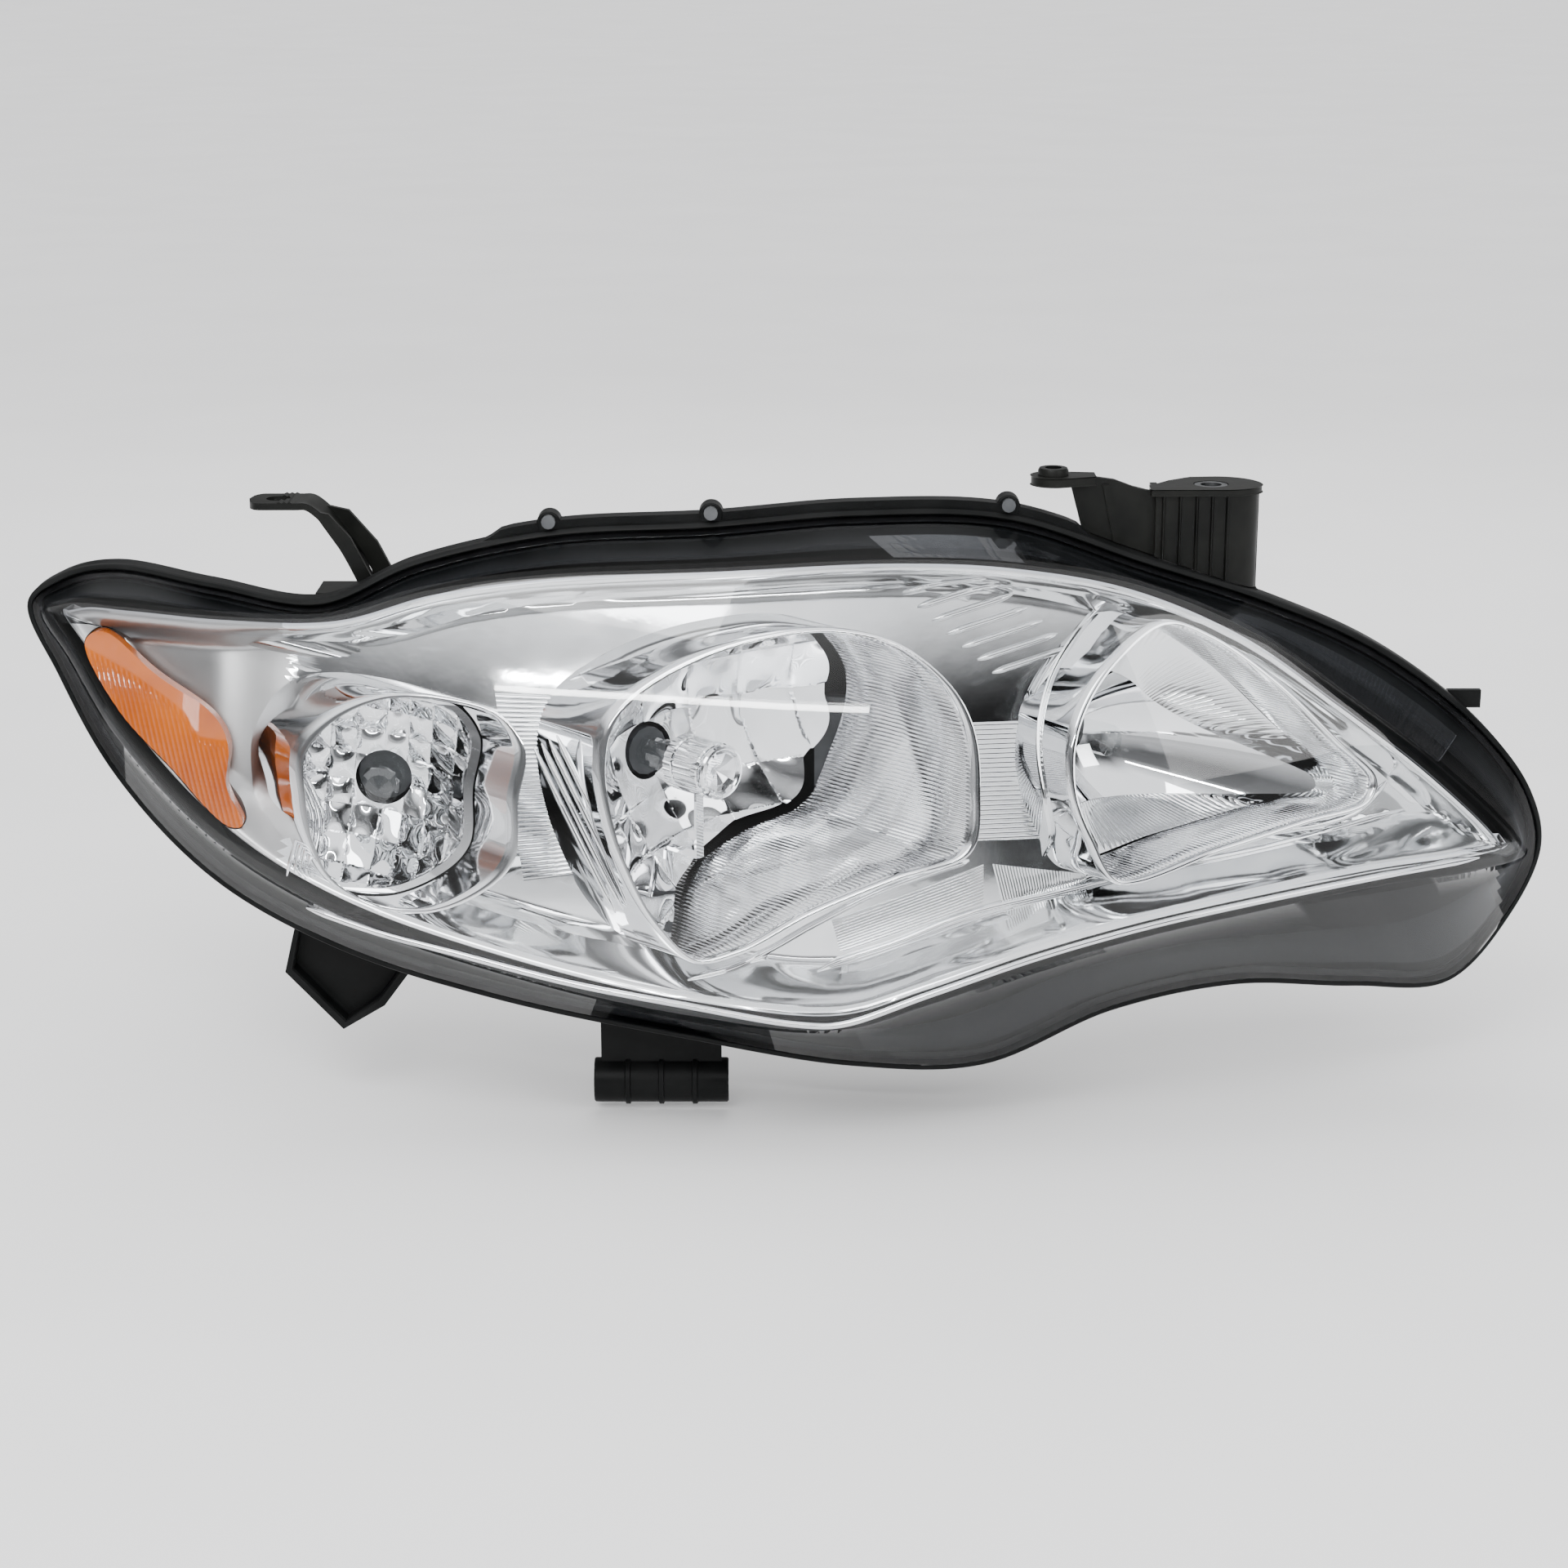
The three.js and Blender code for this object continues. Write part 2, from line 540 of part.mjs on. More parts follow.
function bowl({ x, z, vertex, fallX, fallZ, hole, inset: side, scale, wall }, section) {
  const edge = shrink(inset(outline(section), side), [x, z], scale);
  const depth = (px, pz) => vertex - (px - x) ** 2 / fallX - (pz - z) ** 2 / fallZ;
  const neck = edge.map(([px, pz]) => {
    const reach = Math.hypot(px - x, pz - z);
    return [x + ((px - x) * hole) / reach, z + ((pz - z) * hole) / reach];
  });
  const loops = [neck, mix(neck, edge, 0.33), mix(neck, edge, 0.66), edge];
  const backs = loops.map((loop) => ring(loop, (px, pz) => depth(px, pz) + wall)).reverse();
  return sleeve([...loops.map((loop) => ring(loop, depth)), ...backs]);
}

const aimSpots = {
  pivot: [AIM.x, AIM.y, AIM.z],
  vertical: [AIM.x, AIM.y, AIM.z - AIM.drop],
  horizontal: [AIM.x - AIM.across, AIM.y, AIM.z],
};

function ball([x, y, z], radius, sides = 12) {
  return new THREE.SphereGeometry(radius, sides, 8).translate(x, y, z);
}

// Bosses for the three balls are blocks with a pocket open to the back.
function aimBoss([x, y, z]) {
  return bar(x, z, AIM.boss, y - 7.6, y + 5);
}

function aimPocket([x, y, z], radius) {
  return join(ball([x, y, z], radius, 10), bar(x, z, radius, y, y + 12, 10));
}

function mainReflector() {
  const low = beamToLamp(bowl(LOW_BOWL, LOW_SECTION));
  const high = beamToLamp(bowl(HIGH_BOWL, HIGH_SECTION));
  const bridge = [
    [62.5, 51.5], [69.5, 46.5], [86.5, 18], [105, -21], [116, -34], [118, -31], [108, -19], [90, 20], [74, 50], [66, 54.5],
  ];
  const web = beamToLamp(shelf(bridge, -34, 16));
  const arm = [[9, 69], [7, 99], [-14, 114], [-12, 119], [10, 103], [14, 69]];
  const rail = beamToLamp(shelf(arm, 38, 50));
  const pocket = AIM.ball + 3.2;
  const upright = beamToLamp(shelf([[77.5, 35.4], [86.5, 18], [90, 20], [81, 38]], -54, 54));
  const spots = Object.values(aimSpots);
  const body = join(low, high, web, rail, upright, ...spots.map(aimBoss));
  const neck = ({ x, z, vertex, hole }) => beamToLamp(bar(x, z, hole, vertex - 6, vertex + 9));
  const necks = [LOW_BOWL, HIGH_BOWL].map(neck);
  return cut(body, ...spots.map((spot) => aimPocket(spot, pocket)), ...necks);
}

// A snap cup round a ball: a hollow sphere open to the back.
function ballCup([x, y, z]) {
  const [inner, outer] = [AIM.ball + GAP, AIM.ball + 2.6];
  const open = THREE.MathUtils.degToRad(52);
  const arc = (radius, from, to) =>
    [0, 1, 2, 3, 4].map((k) => {
      const angle = from + ((to - from) * k) / 4;
      return [radius * Math.sin(angle), y + radius * Math.cos(angle)];
    });
  const profile = [...arc(outer, Math.PI, open), ...arc(inner, open, Math.PI)];
  profile[0][0] = 0;
  profile.at(-1)[0] = 0;
  return turned(x, z, profile, 14);
}

// Adjusters

function pivotStud() {
  const [x, y, z] = aimSpots.pivot;
  const wall = backDepth(x, z);
  const head = new THREE.CylinderGeometry(6.5, 6.5, 4, 6).translate(x, wall + 8.6, z);
  return join(ball([x, y, z], AIM.ball), bar(x, z, SCREW.neck, y, y + 12, 20), bar(x, z, 3, y + 10, wall + 8, 20), head);
}

function adjusterCase([x, , z]) {
  const wall = backDepth(x, z);
  const [r, bore] = [SCREW.caseRadius, SCREW.shaft + 0.5];
  const [start, step, end] = [wall - 7, wall + 7.5, wall + SCREW.caseEnd];
  return turned(x, z, [[bore, start], [r, start], [r, step], [r + 3, step], [r + 3, end], [bore, end]]);
}

function adjusterShaft([x, y, z]) {
  const tail = backDepth(x, z) + SCREW.caseEnd + SCREW.knobLength - SCREW.stroke - 2;
  return join(ball([x, y, z], AIM.ball), bar(x, z, SCREW.neck, y, y + 9, 20), bar(x, z, SCREW.shaft, y + 7, tail, 20));
}

function adjusterKnob([x, , z]) {
  const [r, bore, length] = [SCREW.knobRadius, SCREW.shaft + 0.5, SCREW.knobLength];
  const start = backDepth(x, z) + SCREW.caseEnd + GAP;
  const end = start + length;
  const cap = turned(x, z, [[bore, start], [r, start], [r, end - 2], [r - 2, end], [bore, end]]);
  const grips = Array.from({ length: 8 }, (_, i) => {
    const angle = (i * Math.PI) / 4;
    return bar(x + r * Math.cos(angle), z + r * Math.sin(angle), 1.6, start + 2, start + length + 1, 6);
  });
  return cut(cap, ...grips);
}

// Bulbs, sockets and boots

function boot({ x, z, floor, radius, hole }) {
  const inner = hole - 4;
  const skirt = radius - 2;
  const profile = [
    [inner, floor + GAP], [skirt, floor + GAP], [skirt, floor + 3], [hole + 1, floor + 5], [inner + 2.5, floor + 12],
    [inner, floor + 12],
  ];
  return turned(x, z, profile, 24);
}

function bulbShade() {
  const { x, z } = LOW_BOWL;
  const { front, back, radius, wall, strap: width, strapStart, strapEnd, strapDrop } = SHADE;
  const [inner, floor] = [radius - wall, front + 1.5];
  const cup = turned(x, z, [[0, front - 4], [radius, front], [radius, back], [inner, back], [inner, floor], [0, floor]], 20);
  const [left, right] = [x - width / 2, x + width / 2];
  const strap = box(left, right, strapStart, strapEnd, z - strapDrop, z - strapDrop + 1.5);
  const riser = box(left, right, strapStart, strapStart + 1.5, z - strapDrop + 0.5, z - radius + 0.6);
  return join(cup, riser, strap);
}

function capsuleGlass(x, z, back, length, radius) {
  const nose = back - length;
  return turned(x, z, [[0, nose], [radius * 0.7, nose + 1.5], [radius, nose + 4], [radius, back], [0, back]], 14);
}

// A plastic bulb base: neck through the reflector, flange with locking ears, body and plug socket to the back.
function bulbBase(x, z, flange) {
  const [start, top, end] = [flange - BULB.neck, flange + BULB.flangeHeight, flange + BULB.plug];
  const body = turned(x, z, [
    [0, start], [BULB.body, start], [BULB.body, flange], [BULB.flange, flange], [BULB.flange, top], [12, top], [12, end], [0, end],
  ], 14);
  const ears = [0, 2, 4].map((k) => {
    const angle = LOCK_TURN + (k * Math.PI) / 3;
    return box(-2, 2, flange, top, 14, 18).rotateY(angle).translate(x, 0, z);
  });
  const plug = box(x - 8, x + 8, flange + 12, flange + 32, z - 6, z + 6);
  const recess = box(x - 6.5, x + 6.5, flange + 20, flange + 34, z - 4.5, z + 4.5);
  const pins = [-3, 3].map((dx) => box(x + dx - 1, x + dx + 1, flange + 19, flange + 25, z - 0.5, z + 0.5));
  return join(cut(join(body, plug, ...ears), recess), ...pins);
}

function sealRing(x, z, inner, outer, y0, y1) {
  return turned(x, z, [[inner, y0], [outer, y0], [outer, y1], [inner, y1]], 20);
}

// A small twist socket: neck through the port floor, flange, and a grip with two wings.
function twistSocket({ x, z, floor, hole }, reach) {
  const neck = hole - 2;
  const start = floor + SOCKET_SEAT;
  const body = turned(x, z, [
    [0, start - reach], [neck, start - reach], [neck, start], [hole + 4, start], [hole + 4, start + 3],
    [neck, start + 3], [neck, start + 14], [0, start + 14],
  ]);
  const wings = box(x - neck - 3, x + neck + 3, start + 4, start + 16, z - 1.6, z + 1.6);
  return join(body, wings);
}

// Brackets and fasteners

// An upright cylinder.
function post(x, y, radius, from, to) {
  return bar(0, 0, radius, from, to).rotateX(Math.PI / 2).translate(x, y, 0);
}

function innerBracket() {
  const round = (cx, cy, radius, from, to) =>
    [0, 1, 2, 3, 4, 5].map((k) => {
      const angle = THREE.MathUtils.degToRad(from + ((to - from) * k) / 5);
      return [cx + radius * Math.cos(angle), cy + radius * Math.sin(angle)];
    });
  const { left, right, front: edge, back, bottom, top: plateTop, round: corner } = INNER_PLATE;
  const corners = [[left, edge], [right, edge], ...round(right - 16, back - corner, corner, 0, 90), [left, back]];
  const top = shelf(corners, bottom, plateTop);
  const front = box(160, 206, 101, 104, 58, 101);
  const ribs = [160, 175, 189, 203].map((x) => box(x, x + 3, 103, 127, 20, 101));
  const foot = box(160, 206, 104, 131, 20, 60);
  const bend = [
    [162, 50], [163, 84], [148, 100], [132, 105], [112, 104.5], [112, 107.5], [134, 108.2], [151, 103], [166, 90],
  ];
  const strap = plate(bend, 103, 114);
  const ear = post(INNER_EAR.x, INNER_EAR.y, INNER_EAR.radius, INNER_EAR.bottom, INNER_EAR.top);
  const earRing = post(INNER_EAR.x, INNER_EAR.y, INNER_EAR.ring, INNER_EAR.top - 0.5, INNER_EAR.ringTop);
  const holes = [
    post(INNER_HOLE.x, INNER_HOLE.y, INNER_HOLE.radius, bottom - 30, bottom + 30),
    post(INNER_EAR.x, INNER_EAR.y, INNER_EAR.bore, bottom - 25, bottom + 35),
  ];
  return { body: join(top, front, ...ribs, foot, strap, ear, earRing), holes };
}

function outerBracket() {
  const bend = [
    [-176, 30], [-184, 62], [-199, 86], [-207, 94], [-232, 94], [-232, 97], [-205, 97], [-195, 88.5], [-180, 63], [-171, 50],
    [-171, 30],
  ];
  const strap = plate(bend, 99, 122);
  const foot = box(-204, -164, 104, 131, 22, 56);
  const flange = plate([[-178, 34], [-186, 62], [-200, 85], [-206, 93.5], [-196, 92], [-176, 62], [-172, 40]], 120, 123);
  const holes = [post(OUTER_HOLE.x, OUTER_HOLE.y, OUTER_HOLE.radius, 66, 126)];
  return { body: join(strap, flange, foot), holes };
}

// Cuts a bracket to sit on the housing, with its foot no thicker than FOOT_DEPTH and its screw holes open.
function seatedBracket({ body, holes }, screws) {
  const poles = [pointOn(...MIDDLE, atBack(GAP)), pointOn(...MIDDLE, atRim(LIP.front - GAP))];
  const clearance = skin(housingOutside(GAP), ...poles);
  const bores = screws.map(({ x, z }) => bar(x, z, 2 + GAP, 90, 150, 16));
  const heads = screws.map(({ x, z }) => bar(x, z, 5.5, backDepth(x, z) + FOOT_DEPTH - 4, 170, 20));
  return cut(body, clearance, ...holes, ...bores, ...heads);
}

function bracketScrew({ x, z }) {
  const seat = backDepth(x, z) + FOOT_DEPTH - 4 + GAP;
  const head = new THREE.CylinderGeometry(4.2, 4.2, 3.4, 6).translate(x, seat + 1.7, z);
  return join(head, bar(x, z, 2, seat - 14, seat + 1, 16));
}

function lensScrew(index) {
  const [x, y, z] = tabPoint(index);
  return join(bar(x, z, 3, y - 0.8, y + 2 - GAP, 12), bar(x, z, 1.6, y, y + 8.4, 10));
}

function bracketBush() {
  const [bottom, top] = [INNER_PLATE.bottom - 0.8, INNER_PLATE.top - 0.2];
  const { x, y, bush, bore } = INNER_HOLE;
  return turned(0, 0, [[bore, bottom], [bush, bottom], [bush, top], [bore, top]], 28).rotateX(Math.PI / 2).translate(x, y, 0);
}

function breatherElbow() {
  const { x, z, wall, tube, drop } = BREATHER;
  const turns = [[0, 0], [7, 0], [13, -4], [15, -12], [15, -drop]];
  const path = new THREE.CatmullRomCurve3(turns.map(([y, dz]) => new THREE.Vector3(x, wall + 1.8 + y, z + dz)));
  const circle = new THREE.Shape().absarc(0, 0, tube, 0, 2 * Math.PI);
  const elbow = new THREE.ExtrudeGeometry(circle, { extrudePath: path, steps: 9, curveSegments: 6 });
  return join(elbow, bar(x, z, 6.5, wall + GAP, wall + 3, 20));
}

function breatherCap() {
  const { x, z, wall, drop } = BREATHER;
  return turned(0, 0, [[0, -drop - 6.5], [7, -drop - 5], [7, -drop - GAP], [0, -drop - GAP]], 20).rotateX(Math.PI / 2).translate(x, wall + 16.8, z);
}

// Assembly

const lamp = new THREE.Group(); // lamp frame
const beam = new THREE.Group(); // beam frame
beam.rotation.z = SWEEP;
lamp.add(beam);

function add(group, name, geometry, material) {
  const whole = tidy(geometry).toNonIndexed();
  whole.computeVertexNormals();
  const mesh = new THREE.Mesh(whole, material.clone());
  mesh.name = name;
  group.add(mesh);
}

add(lamp, "housing", housing(), MATERIALS.black);
add(lamp, "lens", lens(), MATERIALS.clear);
add(lamp, "lens_seal", lensSeal(), MATERIALS.rubber);
add(lamp, "bezel", bezel(), MATERIALS.chrome);
add(lamp, "turn_reflector", turnReflector(), MATERIALS.chrome);
add(lamp, "side_marker_reflector", sideMarkerReflector(), MATERIALS.amber);
add(lamp, "main_reflector", mainReflector(), MATERIALS.chrome);
add(beam, "bulb_shade", bulbShade(), MATERIALS.chrome);

add(lamp, "pivot_stud", pivotStud(), MATERIALS.steel);
add(lamp, "pivot_socket", ballCup(aimSpots.pivot), MATERIALS.nylon);
for (const way of ["vertical", "horizontal"]) {
  add(lamp, `${way}_ball_socket`, ballCup(aimSpots[way]), MATERIALS.nylon);
  add(lamp, `${way}_adjuster_case`, adjusterCase(aimSpots[way]), MATERIALS.grey);
  add(lamp, `${way}_adjuster_shaft`, adjusterShaft(aimSpots[way]), MATERIALS.nylon);
  add(lamp, `${way}_adjuster_knob`, adjusterKnob(aimSpots[way]), MATERIALS.nylon);
}

const MAIN_BULBS = [
  { name: "low_beam", bowl: LOW_BOWL, port: LOW_PORT },
  { name: "high_beam", bowl: HIGH_BOWL, port: HIGH_PORT },
];
for (const { name, bowl: dish, port } of MAIN_BULBS) {
  const flange = dish.vertex + dish.wall + BULB.seat;
  add(beam, `${name}_boot`, boot(port), MATERIALS.rubber);
  add(beam, `${name}_bulb_glass`, capsuleGlass(dish.x, dish.z, flange - BULB.neck - GAP, BULB.glass, BULB.glassRadius), MATERIALS.glass);
  add(beam, `${name}_bulb_base`, bulbBase(dish.x, dish.z, flange), MATERIALS.grey);
  add(beam, `${name}_bulb_seal`, sealRing(dish.x, dish.z, 10.8, 15, flange - 3, flange - GAP), MATERIALS.rubber);
}

const SMALL_BULBS = [
  { name: "turn", port: TURN_PORT, reach: 18, glass: 26, radius: 8.5 },
  { name: "marker", port: MARKER_PORT, reach: 12, glass: 14, radius: 4.5 },
];
for (const { name, port, reach, glass, radius } of SMALL_BULBS) {
  const { x, z, floor, hole } = port;
  add(lamp, `${name}_bulb`, capsuleGlass(x, z, floor + SOCKET_SEAT - reach - GAP, glass, radius), MATERIALS.glass);
  add(lamp, `${name}_socket`, twistSocket(port, reach), MATERIALS.grey);
  add(lamp, `${name}_socket_seal`, sealRing(x, z, hole - 1.6, hole + 3.5, floor + GAP, floor + SOCKET_SEAT - GAP), MATERIALS.rubber);
}

add(lamp, "upper_inner_bracket", seatedBracket(innerBracket(), BRACKET_SCREWS.slice(0, 2)), MATERIALS.black);
add(lamp, "upper_outer_bracket", seatedBracket(outerBracket(), BRACKET_SCREWS.slice(2)), MATERIALS.black);
add(lamp, "inner_bracket_bush", bracketBush(), MATERIALS.steel);
for (const screw of BRACKET_SCREWS) add(lamp, screw.name, bracketScrew(screw), MATERIALS.steel);
LENS_TABS.forEach((index, i) => add(lamp, `lens_screw_${i + 1}`, lensScrew(index), MATERIALS.steel));
add(lamp, "breather_elbow", breatherElbow(), MATERIALS.rubber);
add(lamp, "breather_cap", breatherCap(), MATERIALS.rubber);

lamp.position.set(...BRACKET_FACE.map((value) => -value));
const headlight = new THREE.Group();
headlight.rotation.z = -SWEEP;
headlight.add(lamp);

export default headlight;
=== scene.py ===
# Car headlight: clear lens, bright bezel with three collared bowls, amber corner, black housing and brackets.
# Shapes are worked out in millimetres in the lamp's own frame (x towards the grille, y into the car, z up) and
# then carried to the part's frame in metres.
import math
import bpy
import numpy as np
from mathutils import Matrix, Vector


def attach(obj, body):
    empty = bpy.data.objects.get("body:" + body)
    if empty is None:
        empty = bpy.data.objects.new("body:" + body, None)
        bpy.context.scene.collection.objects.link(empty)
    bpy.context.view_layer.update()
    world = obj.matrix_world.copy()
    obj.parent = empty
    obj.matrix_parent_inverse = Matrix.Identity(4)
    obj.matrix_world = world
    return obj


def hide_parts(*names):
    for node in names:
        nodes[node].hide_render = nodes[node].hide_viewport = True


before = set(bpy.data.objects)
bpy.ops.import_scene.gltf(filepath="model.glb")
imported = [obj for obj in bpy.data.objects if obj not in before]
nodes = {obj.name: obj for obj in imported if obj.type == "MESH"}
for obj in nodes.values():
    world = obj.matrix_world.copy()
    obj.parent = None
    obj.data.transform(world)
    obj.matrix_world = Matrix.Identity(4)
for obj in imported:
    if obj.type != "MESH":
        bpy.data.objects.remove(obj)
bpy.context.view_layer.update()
print("frame loaded:", len(nodes), "nodes")

lamp = {
    "sweep": math.radians(43),  # the lens against the car's cross direction
    "origin": np.array([166.0, 104.0, 103.0]),  # lamp-frame point where the part's frame starts, mm
    "middle": np.array([0.0, -8.0]),  # [x, z] that outlines shrink towards
    "perSpan": 12,  # points on each span of a smooth outline
}
cosSweep, sinSweep = math.cos(lamp["sweep"]), math.sin(lamp["sweep"])

# turning between the two frames, outlines and meshes

def beamToLamp(p):  # turns points of the beam's frame about z by the sweep
    x, y, z = p[..., 0], p[..., 1], p[..., 2]
    return np.stack([x * cosSweep - y * sinSweep, x * sinSweep + y * cosSweep, z], axis=-1)


def toRow(p):  # lamp millimetres to the part's metres: shifts, then turns back by the sweep
    q = (p - lamp["origin"]) / 1000
    x, y, z = q[..., 0], q[..., 1], q[..., 2]
    return np.stack([x * cosSweep + y * sinSweep, y * cosSweep - x * sinSweep, z], axis=-1)


def smoothLine(points, perSpan, closed=True):
    # Catmull-Rom through the points with knots spaced by the square root of their distance, all spans at once
    p = np.asarray(points, float)
    if not closed:
        p = np.vstack([2 * p[0] - p[1], p, 2 * p[-1] - p[-2]])
    quad = np.stack([np.roll(p, k, axis=0) for k in (1, 0, -1, -2)])
    if not closed:
        quad = quad[:, 1:-2]
    gap = np.sqrt(np.linalg.norm(np.diff(quad, axis=0), axis=2))
    knot = np.concatenate([np.zeros((1, gap.shape[1])), np.cumsum(gap, axis=0)])
    t = knot[1][:, None] + gap[1][:, None] * np.arange(perSpan) / perSpan

    def between(a, b, i, j):
        w = ((t - knot[i][:, None]) / (knot[j] - knot[i])[:, None])[..., None]
        return a * (1 - w) + b * w

    first = [between(quad[i][:, None], quad[i + 1][:, None], i, i + 1) for i in range(3)]
    second = [between(first[i], first[i + 1], i, i + 2) for i in range(2)]
    line = between(second[0], second[1], 1, 2).reshape(-1, p.shape[1])
    return line if closed else np.vstack([line, p[-2]])


def evenLine(line, count, closed=True):  # the same line with its points spaced evenly along it
    path = np.vstack([line, line[:1]]) if closed else line
    along = np.concatenate([[0], np.cumsum(np.linalg.norm(np.diff(path, axis=0), axis=1))])
    at = np.linspace(0, along[-1], count + 1)[:-1] if closed else np.linspace(0, along[-1], count)
    return np.stack([np.interp(at, along, path[:, k]) for k in range(path.shape[1])], axis=1)


def lengthOf(line):
    return np.linalg.norm(np.roll(line, -1, axis=0) - line, axis=1).sum()


def inset(loop, distance, reach=None):
    # moves a clockwise outline inwards, square to the chord over its neighbours
    reach = reach or lamp["perSpan"]
    chord = np.roll(loop, -reach, axis=0) - np.roll(loop, reach, axis=0)
    unit = chord / np.linalg.norm(chord, axis=1)[:, None]
    move = np.stack([unit[:, 1], -unit[:, 0]], axis=1)
    return loop + move * np.asarray(distance)[..., None]


def shrink(loop, sx, sz=None, centre=None):
    centre = lamp["middle"] if centre is None else np.asarray(centre, float)
    return centre + (loop - centre) * np.array([sx, sx if sz is None else sz])


def ringAt(loop, depth):  # [x, z] points with y from a depth function or number
    y = depth(loop[:, 0], loop[:, 1]) if callable(depth) else np.full(len(loop), float(depth))
    return np.stack([loop[:, 0], y, loop[:, 1]], axis=1)


def gridFaces(rows, cols, wrapRows=False, wrapCols=True):
    r = np.arange(rows if wrapRows else rows - 1)[:, None]
    c = np.arange(cols if wrapCols else cols - 1)[None, :]
    nextRow, nextCol = (r + 1) % rows, (c + 1) % cols
    corners = [r * cols + c, r * cols + nextCol, nextRow * cols + nextCol, nextRow * cols + c]
    return np.stack(corners, -1).reshape(-1, 4)


def volumeOf(points, faces):  # signed volume of a closed mesh from its faces cut into fans
    total = 0.0
    for k in range(1, faces.shape[1] - 1):
        a, b, c = points[faces[:, 0]], points[faces[:, k]], points[faces[:, k + 1]]
        total += np.einsum("ij,ij->i", a, np.cross(b, c)).sum()
    return total


def closedMesh(rings, wrap=False):
    # a body through rings of points: the rings either meet again or close on the middles of the end rings
    grid = np.stack(rings)
    rows, cols = grid.shape[:2]
    points, quads = grid.reshape(-1, 3), gridFaces(rows, cols, wrap)
    caps = np.zeros((0, 3), int)
    if not wrap:
        points = np.vstack([points, grid[0].mean(axis=0), grid[-1].mean(axis=0)])
        i = np.arange(cols)
        j, base = (i + 1) % cols, (rows - 1) * cols
        first = np.full(cols, rows * cols)
        caps = np.vstack([np.stack([first, j, i], 1), np.stack([first + 1, base + i, base + j], 1)])
    if volumeOf(points, quads) + (volumeOf(points, caps) if len(caps) else 0) < 0:
        quads, caps = quads[:, ::-1], caps[:, ::-1]
    return points, quads.tolist() + caps.tolist()


def slabMesh(front, back):  # a thin plate between two grids of the same shape, closed round its edge
    rows, cols = front.shape[:2]
    points = np.vstack([front.reshape(-1, 3), back.reshape(-1, 3)])
    face, count = gridFaces(rows, cols, False, False), rows * cols
    top, left = np.arange(cols), np.arange(rows) * cols
    rim = np.concatenate([top, left[1:] + cols - 1, (rows - 1) * cols + top[::-1][1:], left[::-1][1:-1]])
    follow = np.roll(rim, -1)
    side = np.stack([rim, rim + count, follow + count, follow], axis=1)
    faces = np.vstack([face, face[:, ::-1] + count, side])
    return points, (faces[:, ::-1] if volumeOf(points, faces) < 0 else faces).tolist()


def merged(*meshes):  # several meshes as one
    points, faces, start = [], [], 0
    for p, f in meshes:
        points.append(p)
        faces += [[i + start for i in face] for face in f]
        start += len(p)
    return np.vstack(points), faces


def newPiece(name, mesh, crease=35):
    points, faces = mesh
    data = bpy.data.meshes.new(name)
    data.from_pydata(toRow(points).tolist(), [], faces)
    data.update()
    piece = bpy.data.objects.new(name, data)
    bpy.context.scene.collection.objects.link(piece)
    shadeSmooth(piece, crease)
    return piece


def shadeSmooth(piece, crease):
    piece.data.shade_smooth()
    piece.data.set_sharp_from_angle(angle=math.radians(crease))


def carve(piece, mesh, operation):  # joins or cuts with another closed mesh, then forgets the tool
    tool = newPiece("tool", mesh)
    modifier = piece.modifiers.new("carve", "BOOLEAN")
    modifier.operation, modifier.solver, modifier.object = operation, "MANIFOLD", tool
    graph = bpy.context.evaluated_depsgraph_get()
    result = bpy.data.meshes.new_from_object(piece.evaluated_get(graph))
    piece.modifiers.clear()
    old, piece.data = piece.data, result
    bpy.data.meshes.remove(old)
    bpy.data.objects.remove(tool)


def lay(piece, material, body, *replaced, slot):  # finish, body and the nodes it stands for; slot is not used
    piece.data.materials.clear()
    piece.data.materials.append(material)
    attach(piece, body)
    if replaced:
        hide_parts(*replaced)
    return piece


def lathe(profile, x, z, sides=72):  # [radius, y] pairs carried round a line through x, z
    turn = np.linspace(0, 2 * np.pi, sides, endpoint=False)
    r, along = np.asarray(profile, float).T
    y = np.repeat(along[:, None], sides, 1)
    rings = np.stack([x + r[:, None] * np.cos(turn), y, z + r[:, None] * np.sin(turn)], -1)
    return closedMesh(list(rings), profile[0][0] > 0.5)


def barMesh(x, z, radius, y0, y1, sides=64):
    return lathe([[0.01, y0], [radius, y0], [radius, y1], [0.01, y1]], x, z, sides)


def asBeam(mesh):
    return beamToLamp(mesh[0]), mesh[1]


def wallMesh(points, y0, y1):  # an [x, z] outline between two depths
    loop = np.asarray(points, float)
    return closedMesh([ringAt(loop, y0), ringAt(loop, y1)])


def boxMesh(x0, x1, y0, y1, z0, z1):
    return wallMesh([[x0, z0], [x0, z1], [x1, z1], [x1, z0]], y0, y1)


# finishes

def socketFor(material, name):
    return material.node_tree.nodes["Principled BSDF"].inputs[name]


def noiseNode(material, scale, detail=2.0, stretch=(1, 1, 1)):
    tree = material.node_tree
    where = tree.nodes.new("ShaderNodeTexCoord")
    mapping = tree.nodes.new("ShaderNodeMapping")
    mapping.inputs["Scale"].default_value = stretch
    noise = tree.nodes.new("ShaderNodeTexNoise")
    noise.inputs["Scale"].default_value = scale
    noise.inputs["Detail"].default_value = detail
    tree.links.new(where.outputs["Object"], mapping.inputs["Vector"])
    tree.links.new(mapping.outputs["Vector"], noise.inputs["Vector"])
    return noise


def ranged(material, source, low, high, fromLow=0.3, fromHigh=0.7):
    node = material.node_tree.nodes.new("ShaderNodeMapRange")
    for name, value in (("From Min", fromLow), ("From Max", fromHigh), ("To Min", low), ("To Max", high)):
        node.inputs[name].default_value = value
    material.node_tree.links.new(source, node.inputs["Value"])
    return node.outputs["Result"]


